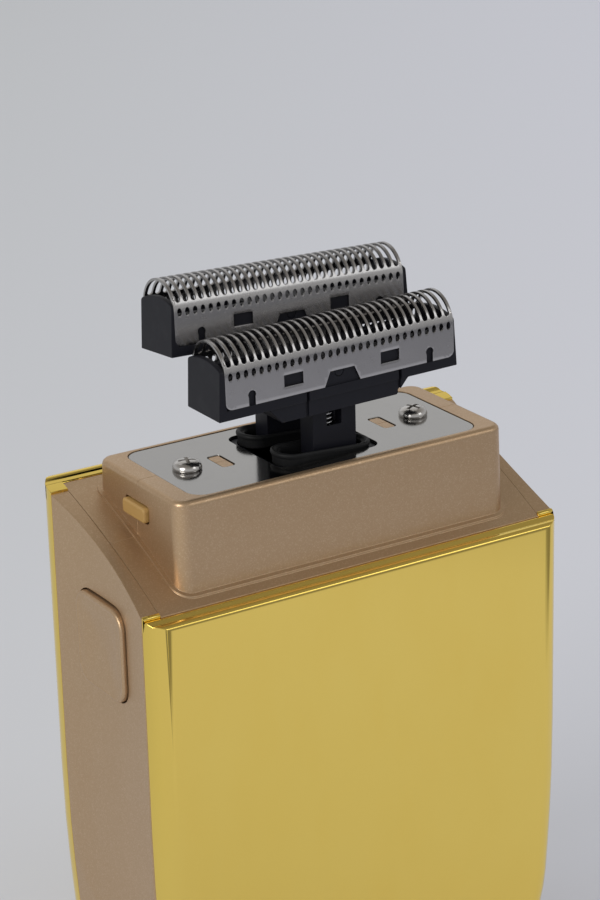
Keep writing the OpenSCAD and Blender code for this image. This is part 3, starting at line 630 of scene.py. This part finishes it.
def piece(name: str, bm: BMesh, finish: Finish, nodes: Sequence[str], crease: float = 35.0,
          turn_out: bool = False) -> bpy.types.Object:
    """Makes a finished piece of a mesh.

    Args:
        name: the piece's name.
        bm: its mesh, which is used up.
        finish: what it is dressed in.
        nodes: the CAD nodes that it stands for; it takes the first one's body.
        crease: the turn above which an edge stays sharp, in degrees.
        turn_out: whether its faces are turned outwards again.

    Returns:
        The piece.
    """
    if turn_out:
        bmesh.ops.remove_doubles(bm, verts=bm.verts, dist=1e-6)
        bmesh.ops.recalc_face_normals(bm, faces=bm.faces)
    limit = math.radians(crease)
    for face in bm.faces:
        face.smooth = True
    for edge in bm.edges:
        edge.smooth = not edge.is_manifold or edge.calc_face_angle(0.0) < limit
    mesh = bpy.data.meshes.new(name)
    bm.to_mesh(mesh)
    bm.free()
    made = bpy.data.objects.new(name, mesh)
    bpy.context.scene.collection.objects.link(made)
    mesh.materials.append(finish.material())
    weights = made.modifiers.new("even_shading", "WEIGHTED_NORMAL")
    weights.keep_sharp = True
    weights.weight = 60
    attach(made, frame["nodes"][nodes[0]]["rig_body"])
    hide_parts(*nodes)
    LOG.info("%s: %d faces, %s", name, len(mesh.polygons), finish.name)
    return made


def dress(node: str, finish: Finish) -> None:
    """Gives a CAD node that stays its finish.

    Args:
        node: the CAD node's name.
        finish: what it is dressed in.
    """
    materials = frame["nodes"][node].data.materials
    materials.clear()
    materials.append(finish.material())
    LOG.info("%s: kept, %s", node, finish.name)


def softened(node: str, finish: Finish, width: float, segments: int = 2) -> None:
    """Makes a piece that is a CAD node with its edges rounded.

    Args:
        node: the CAD node's name.
        finish: what it is dressed in.
        width: how far the rounding reaches.
        segments: how many facets it has.
    """
    piece(node + "_shell", soften(copy_of(node), width, segments), finish, [node])


# ---- sub-assemblies


@dataclass
class Body:
    """Gold covers, champagne side panels, the two housing halves and the bottom cap."""

    cover_edge: float = 0.10 * MM
    panel_edge: float = 0.12 * MM
    housing_edge: float = 0.07 * MM
    cap_edge: float = 0.15 * MM

    def build(self) -> None:
        """Builds the outer body."""
        for node in ("front_cover", "rear_cover"):
            softened(node, GOLD, self.cover_edge)
        for node in ("left_side_panel", "right_side_panel"):
            softened(node, CHAMPAGNE, self.panel_edge)
        for node in ("front_housing", "rear_housing"):
            softened(node, CHAMPAGNE, self.housing_edge)
        softened("bottom_cap", CHAMPAGNE, self.cap_edge)


@dataclass
class ScrewHead:
    """A cross-recessed pan head with its plain shank, pointing down from z = 0."""

    radius: float = 1.9 * MM
    height: float = 1.25 * MM
    slot_half: float = 0.24 * MM
    slot_reach: float = 1.12 * MM
    slot_depth: float = 0.75 * MM
    slot_taper: tuple[float, float, float] = (0.62, 0.62, 0.25)
    slot_from: float = 0.8
    dome_from: float = 0.4
    shank: float = 1.0 * MM
    length: float = 8.5 * MM
    facets: int = 36
    profile: tuple[Pair, ...] = (
        (0.0, 1.0), (0.34, 0.985), (0.60, 0.92), (0.80, 0.78), (0.93, 0.56), (1.0, 0.30), (1.0, 0.12),
        (0.96, 0.0))

    def add(self, bm: BMesh, place: Matrix) -> None:
        """Adds the screw to a mesh.

        Args:
            bm: the mesh.
            place: where the underside of its head sits.
        """
        own = bmesh.new()
        chain = [own.verts.new((x * self.radius, 0, z * self.height)) for x, z in self.profile]
        chain.append(own.verts.new((self.shank, 0, 0)))
        chain.append(own.verts.new((self.shank, 0, -self.length)))
        chain.append(own.verts.new((0, 0, -self.length)))
        line = [own.edges.new(pair) for pair in zip(chain, chain[1:])]
        bmesh.ops.spin(own, geom=chain + line, cent=(0, 0, 0), axis=(0, 0, 1), angle=math.tau,
                       steps=self.facets, use_merge=True)
        bmesh.ops.remove_doubles(own, verts=own.verts, dist=1e-7)
        bmesh.ops.recalc_face_normals(own, faces=own.faces)
        for axis in (0, 1):
            for offset in (-self.slot_reach, -self.slot_half, self.slot_half, self.slot_reach):
                normal = Vector((1, 0, 0)) if axis == 0 else Vector((0, 1, 0))
                top = [f for f in own.faces if self._in_dome(f)]
                geom = {*top, *(e for f in top for e in f.edges), *(v for f in top for v in f.verts)}
                bmesh.ops.bisect_plane(own, geom=list(geom), plane_co=normal * offset, plane_no=normal,
                                       dist=1e-7)
        cross = [f for f in own.faces if self._in_dome(f) and self._in_cross(f)]
        sunk = made_of(bmesh.ops.extrude_face_region(own, geom=cross), BMVert)
        bmesh.ops.delete(own, geom=cross, context="FACES")
        bmesh.ops.scale(own, vec=self.slot_taper, verts=sunk)
        bmesh.ops.translate(own, vec=(0, 0, self.height * self.slot_from - self.slot_depth), verts=sunk)
        bmesh.ops.transform(own, matrix=place, verts=own.verts)
        held = bpy.data.meshes.new("screw")
        own.to_mesh(held)
        own.free()
        bm.from_mesh(held)
        bpy.data.meshes.remove(held)

    def _in_dome(self, face: BMFace) -> bool:
        """Whether a face lies in the part of the head that the recess is cut into."""
        return face.calc_center_median().z > self.height * self.dome_from

    def _in_cross(self, face: BMFace) -> bool:
        """Whether a face lies in the cross of the recess."""
        x, y = (abs(c) for c in face.calc_center_median().xy)
        return (x < self.slot_half and y < self.slot_reach) or (y < self.slot_half and x < self.slot_reach)


@dataclass
class DriveBoot:
    """Rubber seal round a drive post: an oval rim, a ledge and a mouth that the post slides in."""

    rings: tuple[tuple[float, float, float], ...] = (
        (6.80, 2.40, 80.30), (6.80, 2.40, 84.05), (7.00, 2.50, 84.28), (7.06, 2.53, 84.54),
        (6.99, 2.48, 84.75), (6.84, 2.38, 84.86), (6.66, 2.28, 84.87), (6.50, 2.19, 84.78),
        (6.38, 2.13, 84.60), (6.27, 2.09, 84.46), (6.14, 2.03, 84.42), (6.03, 1.97, 84.47),
        (5.95, 1.93, 84.50), (5.88, 1.89, 84.42), (5.84, 1.85, 84.18), (5.82, 1.82, 83.60),
        (5.82, 1.82, 80.30))
    corner_facets: int = 10
    lean: float = 0.062
    lean_from: float = 83.0 * MM

    def build(self, node: str, lane_y: float) -> None:
        """Builds one seal.

        Args:
            node: the CAD node that it stands for.
            lane_y: the middle of its post.
        """
        bm = bmesh.new()
        first = self.rings[0]
        ring = outline_ring(bm, (first[0] * MM, first[1] * MM), first[1] * MM, first[2] * MM,
                            self.corner_facets)
        start = ring
        for half_x, half_y, z in self.rings[1:]:
            ring = next_ring(bm, ring, (half_x * MM, half_y * MM), z * MM)
        bmesh.ops.bridge_loops(bm, edges=start + ring)
        for v in bm.verts:
            if v.co.z > self.lean_from:
                v.co.z -= self.lean * v.co.x
        bmesh.ops.translate(bm, vec=(0, lane_y, 0), verts=bm.verts)
        piece(node + "_seal", bm, RUBBER, [node], crease=50, turn_out=True)


@dataclass
class TopPlate:
    """Steel plate of the plinth with its screws, the black insert and the rubber seals."""

    plate_edge: float = 0.08 * MM
    frame_edge: float = 0.12 * MM
    screw_x: float = 17.1 * MM
    screw_turn: float = 20.0
    lane_y: float = 4.2 * MM

    def build(self) -> None:
        """Builds the plate and what sits in it."""
        softened("top_plate", PLATE_STEEL, self.plate_edge)
        softened("boot_frame", BLACK, self.frame_edge)
        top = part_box("top_plate")[1].z
        bm = bmesh.new()
        for side in (-1, 1):
            turn = Matrix.Rotation(math.radians(side * self.screw_turn), 4, "Z")
            ScrewHead().add(bm, Matrix.Translation((side * self.screw_x, 0, top)) @ turn)
        piece("plate_screw_pair", bm, SCREW_STEEL, ["plate_screws"], crease=28)
        seal = DriveBoot()
        seal.build("front_drive_boot", -self.lane_y)
        seal.build("rear_drive_boot", self.lane_y)


@dataclass
class Coil:
    """A round-wire compression spring."""

    mean_r: float
    wire_r: float
    length: float
    turns: float
    steps: int = 24
    sides: int = 10

    def mesh(self, place: Matrix) -> BMesh:
        """Winds the wire.

        Args:
            place: where the spring's first end sits, with its own axis along Z.

        Returns:
            The coil's mesh.
        """
        bm = bmesh.new()
        upright = Matrix.Translation((self.mean_r, 0, self.wire_r)) @ Matrix.Rotation(math.pi / 2, 4, "X")
        made = bmesh.ops.create_circle(bm, cap_ends=True, segments=self.sides, radius=self.wire_r,
                                       matrix=upright)
        faces = list({f for v in made["verts"] for f in v.link_faces})
        count = int(self.turns * self.steps)
        rise = self.length - 2 * self.wire_r
        bmesh.ops.spin(bm, geom=faces, cent=(0, 0, 0), axis=(0, 0, 1), dvec=(0, 0, rise / count),
                       angle=math.tau * self.turns, steps=count, use_merge=False)
        bmesh.ops.transform(bm, matrix=place, verts=bm.verts)
        return bm


@dataclass
class DriveTrain:
    """Drive posts with their springs, plungers and pins, and the motor below them."""

    post_edge: float = 0.10 * MM
    pin_edge: float = 0.06 * MM
    shift: float = 0.8 * MM
    lane_y: float = 4.2 * MM
    seat_z: float = 80.0 * MM
    coil_r: float = 0.905 * MM
    wire_r: float = 0.14 * MM
    travel: float = 2.0 * MM
    turns: dict[str, int] = field(default_factory=lambda: {"front": 16, "rear": 25})

    def build(self) -> None:
        """Builds the drive."""
        for side, end in ((-1, "front"), (1, "rear")):
            softened(f"{end}_drive_slide", BLACK, self.post_edge)
            softened(f"{end}_plunger", ACETAL, self.pin_edge)
            softened(f"{end}_pivot_pin", BLACK, self.pin_edge)
            self._spring(end, side)
            dress(f"{end}_guide_rod", ROD_STEEL)
        for node, finish in (
            ("chassis", CHASSIS_GREY), ("motor_can", MOTOR_STEEL), ("motor_end_cap", ACETAL),
            ("motor_shaft", ROD_STEEL), ("motor_screws", SCREW_STEEL), ("double_eccentric", ACETAL),
        ):
            dress(node, finish)

    def _spring(self, end: str, side: int) -> None:
        """Builds a cutter's spring.

        Args:
            end: front or rear.
            side: -1 for the front lane and 1 for the rear one.
        """
        node = f"{end}_cutter_spring"
        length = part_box(node)[1].z - self.seat_z
        coil = Coil(self.coil_r, self.wire_r, length, self.turns[end])
        place = Matrix.Translation((-side * self.shift, side * self.lane_y, self.seat_z))
        made = piece(node + "_coil", coil.mesh(place), SPRING_STEEL, [node], crease=60, turn_out=True)
        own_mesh(made)


@dataclass
class Comb:
    """Arched steel comb, cut from a flat sheet and then bent; its foot is on z = 0 and it runs along X."""

    half_l: float = 16.95 * MM
    pitch: float = 1.115 * MM
    slots: int = 30
    slot_half: float = 0.37 * MM
    slot_z: float = 6.8 * MM
    hole: tuple[float, float, float] = (0.33 * MM, 0.54 * MM, 5.58 * MM)
    outer_r: float = 3.95 * MM
    crown: float = 3.85 * MM
    spring_z: float = 5.55 * MM
    low_z: float = 1.35 * MM
    sheet: float = 0.3 * MM
    edge: float = 0.05 * MM
    rows: int = 44
    window: tuple[float, float, float, float] = (5.75 * MM, 8.55 * MM, 2.65 * MM, 4.2 * MM)
    notch: tuple[float, float, float] = (3.09 * MM, 1.8 * MM, 3.28 * MM)
    keyhole: tuple[float, float, float, float] = (13.2 * MM, 0.48 * MM, 2.75 * MM, 0.58 * MM)
    corner_r: float = 0.9 * MM
    corner_facets: int = 4
    corner_tip: float = 1.6
    overcut: float = 1 * MM
    margin: float = 0.4 * MM
    hole_facets: int = 10

    def _reach(self, z: float) -> float:
        """How far along the sheet a height lies from the crown, on the flank or on the arch."""
        quarter = math.pi / 2 * self.outer_r
        if z < self.spring_z:
            return quarter + self.spring_z - z
        return quarter - self.outer_r * math.asin((z - self.spring_z) / self.outer_r)

    def _round(self) -> list[float]:
        """The angles of a round hole's corners."""
        return [math.tau * k / self.hole_facets for k in range(self.hole_facets)]

    def _cell(self) -> bpy.types.Mesh:
        """One pitch of the flat sheet, with its slot and its two holes.

        Returns:
            The mesh, centred on x = 0.
        """
        bm = bmesh.new()
        full = self._reach(self.low_z)
        bmesh.ops.create_grid(bm, x_segments=2, y_segments=self.rows, size=1.0)
        bmesh.ops.scale(bm, vec=(self.pitch / 2, full, 1), verts=bm.verts)
        end = self._reach(self.slot_z) - self.slot_half
        arc = [math.radians(a) for a in range(0, 181, 30)]
        slot = [(self.slot_half * math.cos(a), end + self.slot_half * math.sin(a)) for a in arc]
        punch(bm, slot + [(-x, -y) for x, y in slot])
        across, along, z = self.hole
        for side in (-1, 1):
            middle = side * self._reach(z)
            punch(bm, [(across * math.cos(a), middle + along * math.sin(a)) for a in self._round()])
        mesh = bpy.data.meshes.new("comb_cell")
        bm.to_mesh(mesh)
        bm.free()
        return mesh

    def _openings(self, side: int) -> list[list[Pair]]:
        """Outlines of what is cut from one flank.

        Args:
            side: -1 for the flank at -Y and 1 for the other.

        Returns:
            Convex outlines in the flat sheet, as pairs of X and reach.
        """
        def lay(points: Sequence[Pair]) -> list[Pair]:
            """Lays points of X and height on the sheet."""
            flat = [(x, side * self._reach(z)) for x, z in points]
            return flat[::-1] if side < 0 else flat

        beyond = self.low_z - self.overcut
        wide, narrow, top = self.notch
        made = [lay(((-wide, beyond), (-narrow, top), (narrow, top), (wide, beyond)))]
        for sign in (-1, 1):
            x0, x1, z0, z1 = self.window
            x0, x1 = sorted((sign * x0, sign * x1))
            made.append(lay(((x0, z0), (x0, z1), (x1, z1), (x1, z0))))
            x, half, z, r = self.keyhole
            x *= sign
            made.append(lay(((x - half, beyond), (x - half, z), (x + half, z), (x + half, beyond))))
            made.append(lay([(x - r * math.cos(a), z + r * math.sin(a)) for a in self._round()]))
            cx, cz, r = sign * (self.half_l - self.corner_r), self.low_z + self.corner_r, self.corner_r
            tip = (cx + sign * self.corner_tip * r, cz - self.corner_tip * r)
            for k in range(self.corner_facets):
                a, b = (math.radians(90 / self.corner_facets * j) for j in (k, k + 1))
                span = [(cx + sign * r * math.cos(t), cz - r * math.sin(t)) for t in (a, b)]
                made.append(lay([span[0], tip, span[1]] if sign > 0 else [span[1], tip, span[0]]))
        return made

    def mesh(self) -> BMesh:
        """Cuts the sheet and bends it.

        Returns:
            The outer skin of the comb.
        """
        cell = self._cell()
        bm = bmesh.new()
        for k in range(self.slots):
            bm.from_mesh(cell)
            fresh = list(bm.verts)[-len(cell.vertices):]
            bmesh.ops.translate(bm, vec=((k - (self.slots - 1) / 2) * self.pitch, 0, 0), verts=fresh)
        bpy.data.meshes.remove(cell)
        full = self._reach(self.low_z)
        edge = self.slots / 2 * self.pitch
        for sign in (-1, 1):
            made = bmesh.ops.create_grid(bm, x_segments=1, y_segments=self.rows, size=1.0)["verts"]
            bmesh.ops.scale(bm, vec=(self.margin / 2, full, 1), verts=made)
            bmesh.ops.translate(bm, vec=(sign * (edge + self.margin / 2), 0, 0), verts=made)
        bmesh.ops.remove_doubles(bm, verts=bm.verts, dist=1e-6)
        for sign in (-1, 1):
            bmesh.ops.bisect_plane(bm, geom=[*bm.verts, *bm.edges, *bm.faces],
                                   plane_co=(sign * self.half_l, 0, 0), plane_no=(sign, 0, 0),
                                   clear_outer=True)
        for side in (-1, 1):
            for outline in self._openings(side):
                punch(bm, outline)
        quarter = math.pi / 2 * self.outer_r
        for v in bm.verts:
            side, reach = math.copysign(1, v.co.y), abs(v.co.y)
            if reach > quarter:
                v.co.yz = side * self.outer_r, self.spring_z - (reach - quarter)
            else:
                turn = reach / self.outer_r
                v.co.yz = side * self.outer_r * math.sin(turn), self.spring_z + self.crown * math.cos(turn)
        return bm


@dataclass
class Cutters:
    """Black cutter carriers with their arched steel combs."""

    carrier_edge: float = 0.12 * MM
    worn_turn: float = 50.0
    pin_z: float = 2.9 * MM
    places: dict[str, tuple[float, float, float, float, float]] = field(default_factory=lambda: {
        "front": (1.05 * MM, -4.2 * MM, 92.45 * MM, -0.8, 0.0),
        "rear": (-0.9 * MM, 4.2 * MM, 97.75 * MM, 1.9, 5.4)})

    def build(self) -> None:
        """Builds both cutters."""
        comb = Comb()
        for end, (x, y, foot, rock, lean) in self.places.items():
            softened(f"{end}_cutter_carrier", BLACK, self.carrier_edge)
            turn = Matrix.Rotation(math.radians(-lean), 4, "X") @ Matrix.Rotation(math.radians(rock), 4, "Y")
            bm = comb.mesh()
            bmesh.ops.transform(
                bm, matrix=Matrix.Translation((x, y, foot + self.pin_z)) @ turn
                @ Matrix.Translation((0, 0, -self.pin_z)), verts=bm.verts)
            made = piece(f"{end}_comb_sheet", bm, COMB_STEEL, [f"{end}_cutter_comb"], crease=30)
            thick = made.modifiers.new("sheet_thickness", "SOLIDIFY")
            thick.thickness, thick.offset, thick.use_even_offset = comb.sheet, -1.0, True
            round_off = made.modifiers.new("worn_edge", "BEVEL")
            round_off.width, round_off.segments, round_off.limit_method = comb.edge, 2, "ANGLE"
            round_off.angle_limit, round_off.use_clamp_overlap = math.radians(self.worn_turn), True
            order = made.modifiers
            order.move(order.find("even_shading"), len(order) - 1)


@dataclass
class ReleaseButton:
    """Rounded square button with a bright rim and a dished face, on a square stem."""

    width: float = 12.0 * MM
    height: float = 12.6 * MM
    thick: float = 1.3 * MM
    corner: float = 2.6 * MM
    dish: float = 0.62 * MM
    stem: float = 5.0 * MM
    stem_l: float = 7.5 * MM
    rim: tuple[Pair, ...] = (
        (0.0, -0.34), (0.05, -0.18), (0.14, -0.06), (0.26, -0.01), (0.36, 0.0), (0.46, -0.015), (0.60, -0.06),
        (0.78, -0.12))
    dish_rings: tuple[float, ...] = (0.86, 0.72, 0.56, 0.40, 0.24, 0.10)
    corner_facets: int = 8

    def mesh(self) -> BMesh:
        """Builds the button facing up, with the top of its rim on z = 0.

        Returns:
            Its mesh.
        """
        bm = bmesh.new()
        half = (self.width / 2, self.height / 2)
        ring = outline_ring(bm, half, self.corner, -self.thick, self.corner_facets)
        back = ring
        for inset, z in self.rim:
            ring = next_ring(bm, ring, (half[0] - inset * MM, half[1] - inset * MM), z * MM)
        last_inset, last_z = self.rim[-1]
        start = 1 - last_inset * MM / half[0]
        for share in self.dish_rings:
            deep = self.dish - (self.dish + last_z * MM) * (share / start) ** 2
            ring = next_ring(bm, ring, (half[0] * share * start, half[1] * share * start), -deep)
        bmesh.ops.contextual_create(bm, geom=ring)
        reach = self.stem / 2
        ring = next_ring(bm, back, (reach, reach), -self.thick)
        ring = next_ring(bm, ring, (reach, reach), -self.thick - self.stem_l)
        bmesh.ops.contextual_create(bm, geom=ring)
        return bm


@dataclass
class HeadRelease:
    """Release buttons, the latches behind them and their return springs."""

    nose_round: float = 0.32 * MM
    nose_x: float = 24.5 * MM
    release_y: float = -0.4 * MM
    release_z: float = 63.3 * MM
    face_x: float = 31.0 * MM
    travel: float = 1.0 * MM
    spring_low: float = 17.0 * MM
    spring_z: float = 62.0 * MM
    coil_r: float = 1.5 * MM
    wire_r: float = 0.2 * MM
    turns: int = 5

    def build(self) -> None:
        """Builds both sides."""
        for side, name in ((-1, "left"), (1, "right")):
            turn = Matrix.Rotation(math.pi / 2 * side, 4, "Y") @ Matrix.Rotation(math.pi / 2, 4, "Z")
            bm = ReleaseButton().mesh()
            bmesh.ops.transform(
                bm, matrix=Matrix.Translation((side * self.face_x, self.release_y, self.release_z)) @ turn,
                verts=bm.verts)
            piece(f"{name}_release_button_cap", bm, CHAMPAGNE, [f"{name}_release_button"], turn_out=True)
            bm = copy_of(f"{name}_latch")
            soften(bm, self.nose_round, 3, lambda p: abs(p.x) > self.nose_x)
            piece(f"{name}_latch_shell", bm, LATCH_YELLOW, [f"{name}_latch"])
            self._spring(name, side)

    def _spring(self, name: str, side: int) -> None:
        """Builds a return spring.

        Args:
            name: left or right.
            side: -1 on the left and 1 on the right.
        """
        node = f"{name}_latch_spring"
        low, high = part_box(node)
        length = high.x - low.x
        turn = Matrix.Rotation(math.pi / 2 * side, 4, "Y")
        place = Matrix.Translation((side * self.spring_low, 0, self.spring_z)) @ turn
        coil = Coil(self.coil_r, self.wire_r, length, self.turns)
        made = piece(node + "_coil", coil.mesh(place), SPRING_STEEL, [node], crease=60, turn_out=True)
        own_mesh(made)


@dataclass
class PowerPack:
    """Battery, boards, inlet, wires and the power button with its bezel and lens."""

    trim_edge: float = 0.12 * MM
    socket_edge: float = 0.05 * MM
    cap_screw_x: float = 14 * MM
    cap_screw_y: float = 5.5 * MM
    cap_screw_z: float = 1.5 * MM
    cap_screw_l: float = 7.5 * MM

    def build(self) -> None:
        """Builds the electrical parts."""
        softened("power_button", GOLD, self.trim_edge, 3)
        softened("button_bezel", GOLD, self.trim_edge, 3)
        softened("indicator_lens", LENS, self.trim_edge)
        softened("charging_socket", NICKEL, self.socket_edge)
        for node, finish in (
            ("battery_cell", SLEEVE), ("battery_cradle", CHASSIS_GREY), ("battery_contacts", NICKEL),
            ("circuit_board", BOARD), ("board_screws", SCREW_STEEL), ("tact_switch", BLACK),
            ("indicator_leds", LED_RESIN), ("charging_board", BOARD), ("motor_wires", WIRE_RED),
            ("battery_wires", WIRE_RED), ("case_screws", SCREW_STEEL),
        ):
            dress(node, finish)
        bm = bmesh.new()
        screw = ScrewHead(length=self.cap_screw_l)
        down = Matrix.Rotation(math.pi, 4, "X")
        for x in (-self.cap_screw_x, self.cap_screw_x):
            for y in (-self.cap_screw_y, self.cap_screw_y):
                screw.add(bm, Matrix.Translation((x, y, self.cap_screw_z)) @ down)
        piece("cap_screw_set", bm, SCREW_STEEL, ["cap_screws"], crease=28)


# ---- studio


@dataclass(frozen=True)
class Lamp:
    """A square soft lamp that faces the cutters; angles in degrees, 0 in front and 90 to the right."""

    name: str
    azimuth: float
    elevation: float
    reach: float
    size: float
    power: float
    colour: Colour = (0.97, 0.985, 1.0)


@dataclass
class Studio:
    """Pale floor, soft lamps and the camera."""

    sight: Vector = field(default_factory=lambda: Vector((0, 0, 84 * MM)))
    azimuth: float = -31.70
    elevation: float = 20.27
    roll: float = -1.479
    distance: float = 354.07 * MM
    offset: Pair = (-0.349 * MM, -1.228 * MM)
    lens: float = 110.44
    sensor: float = 36.0
    clip: Pair = (0.01, 50.0)
    lamps: tuple[Lamp, ...] = (
        Lamp("key", -70, 26, 0.9, 0.4, 3.0, (1.0, 0.985, 0.96)),
        Lamp("fill", 34, 32, 1.0, 0.35, 0.6),
        Lamp("back", 165, 40, 0.9, 0.9, 0.7),
    )
    floor_size: float = 8.0
    # painted light: the floor is lighter and cooler to the right than to the left
    floor_left: Colour = (0.60, 0.605, 0.61)
    floor_right: Colour = (0.71, 0.71, 0.77)
    floor_drift: Pair = (2.83, -1.75)
    world_colour: Colour = (0.97, 0.985, 1.0)
    world_level: float = 0.68
    seen_low: Colour = (0.99, 0.99, 1.0)
    seen_high: Colour = (1.0, 0.88, 0.72)
    seen_level: float = 0.56
    sky: tuple[Pair, ...] = ((0.0, 1.0), (0.35, 0.95), (0.7, 0.62), (1.0, 0.40))
    gloom_side: Pair = (0.6, -0.8)
    gloom: tuple[Pair, ...] = (
        (0.18, 1.0), (0.235, 0.82), (0.27, 0.72), (0.315, 0.46), (0.40, 0.38))

    def build(self) -> None:
        """Builds the studio."""
        self._camera()
        self._world()
        self._floor()
        for lamp in self.lamps:
            self._hang(lamp)
        view = bpy.context.scene.view_settings
        view.view_transform = "Standard"

    def _direction(self, azimuth: float, elevation: float) -> Vector:
        """The direction from the object to a place in the studio.

        Args:
            azimuth: 0 in front and 90 to the right, in degrees.
            elevation: above the horizon, in degrees.

        Returns:
            The unit vector.
        """
        a, e = math.radians(azimuth), math.radians(elevation)
        return Vector((math.sin(a) * math.cos(e), -math.cos(a) * math.cos(e), math.sin(e)))

    def _camera(self) -> None:
        """Sets up the camera."""
        back = self._direction(self.azimuth, self.elevation)
        a = math.radians(self.azimuth)
        right = Vector((math.cos(a), math.sin(a), 0))
        up = right.cross(-back)
        r = math.radians(self.roll)
        own_right = right * math.cos(r) + up * math.sin(r)
        own_up = up * math.cos(r) - right * math.sin(r)
        spot = self.sight + back * self.distance + own_right * self.offset[0] + own_up * self.offset[1]
        data = bpy.data.cameras.new("camera")
        data.lens, data.sensor_width = self.lens, self.sensor
        data.clip_start, data.clip_end = self.clip
        camera = bpy.data.objects.new("camera", data)
        turn = Matrix((own_right, own_up, back)).transposed()
        camera.matrix_world = Matrix.Translation(spot) @ turn.to_4x4()
        bpy.context.scene.collection.objects.link(camera)
        bpy.context.scene.camera = camera

    def _world(self) -> None:
        """Lights the surroundings evenly; what is seen or mirrored of them dims towards the zenith."""
        world = bpy.data.worlds.new("surroundings")
        world.use_nodes = True
        bpy.context.scene.world = world
        tree = ShaderTree(world.node_tree)
        path = tree.node("ShaderNodeLightPath")
        seen = Value(tree, path.outputs["Is Camera Ray"]) + Value(tree, path.outputs["Is Glossy Ray"])
        seen = (seen + Value(tree, path.outputs["Is Transmission Ray"])).at_most(1.0)
        around = tree.node("ShaderNodeTexCoord").outputs["Generated"]
        split = tree.node("ShaderNodeSeparateXYZ", None, {0: around})
        height = tree.ramp(Value(tree, split.outputs[2]), self.sky)
        light = tree.node("ShaderNodeBackground", None, {0: (*self.world_colour, 1), 1: self.world_level})
        tint = tree.mix(height, self.seen_high, self.seen_low)
        shown = tree.node("ShaderNodeBackground", None, {0: tint, 1: height * self.seen_level})
        both = tree.node("ShaderNodeMixShader", None, {0: seen, 1: light.outputs[0], 2: shown.outputs[0]})
        tree.node("ShaderNodeOutputWorld", None, {0: both.outputs[0]})

    def _floor(self) -> None:
        """Lays the pale floor with painted light that makes it lighter and a touch cooler to the right, and
        dims what is mirrored of its far front.
        """
        bm = bmesh.new()
        bmesh.ops.create_grid(bm, x_segments=8, y_segments=8, size=self.floor_size / 2)
        mesh = bpy.data.meshes.new("floor")
        bm.to_mesh(mesh)
        bm.free()
        floor = bpy.data.objects.new("floor", mesh)
        bpy.context.scene.collection.objects.link(floor)
        made = bpy.data.materials.new("pale_floor")
        made.use_nodes = True
        tree = ShaderTree(made.node_tree)
        split = tree.node("ShaderNodeSeparateXYZ", None, {0: tree.place()})
        east, north = (Value(tree, split.outputs[k]) for k in (0, 1))
        # painted light: the floor's colour runs from floor_left to the lighter floor_right
        side = east * self.floor_drift[0] + north * self.floor_drift[1]
        across = tree.ramp(side + 0.5, ((0.0, 0.0), (1.0, 1.0)))
        pale = tree.mix(across, self.floor_left, self.floor_right)
        away = east * self.gloom_side[0] + north * self.gloom_side[1]
        mirrored = Value(tree, tree.node("ShaderNodeLightPath").outputs["Is Glossy Ray"])
        dim = (1.0 - tree.ramp(away, self.gloom)) * mirrored
        tree.surface(tree.mix(dim, pale, (0, 0, 0)), 0.9, None, Specular_IOR_Level=0.1)
        mesh.materials.append(made)

    def _hang(self, lamp: Lamp) -> None:
        """Hangs a lamp.

        Args:
            lamp: what it is and where it goes.
        """
        data = bpy.data.lights.new(lamp.name, "AREA")
        data.shape, data.size = "SQUARE", lamp.size
        data.energy, data.color = lamp.power, lamp.colour
        made = bpy.data.objects.new(lamp.name, data)
        direction = self._direction(lamp.azimuth, lamp.elevation)
        made.location = self.sight + direction * lamp.reach
        made.rotation_mode = "QUATERNION"
        made.rotation_quaternion = direction.to_track_quat("Z", "Y")
        bpy.context.scene.collection.objects.link(made)


def main() -> None:
    """Builds the studio and every sub-assembly, in order."""
    logging.basicConfig(level=logging.INFO, format="%(name)s %(message)s", stream=sys.stdout)
    for part in (Studio(), Body(), TopPlate(), DriveTrain(), Cutters(), HeadRelease(), PowerPack()):
        LOG.info("building %s", type(part).__name__)
        part.build()
    bpy.context.view_layer.update()


if __name__ == "__main__":
    main()
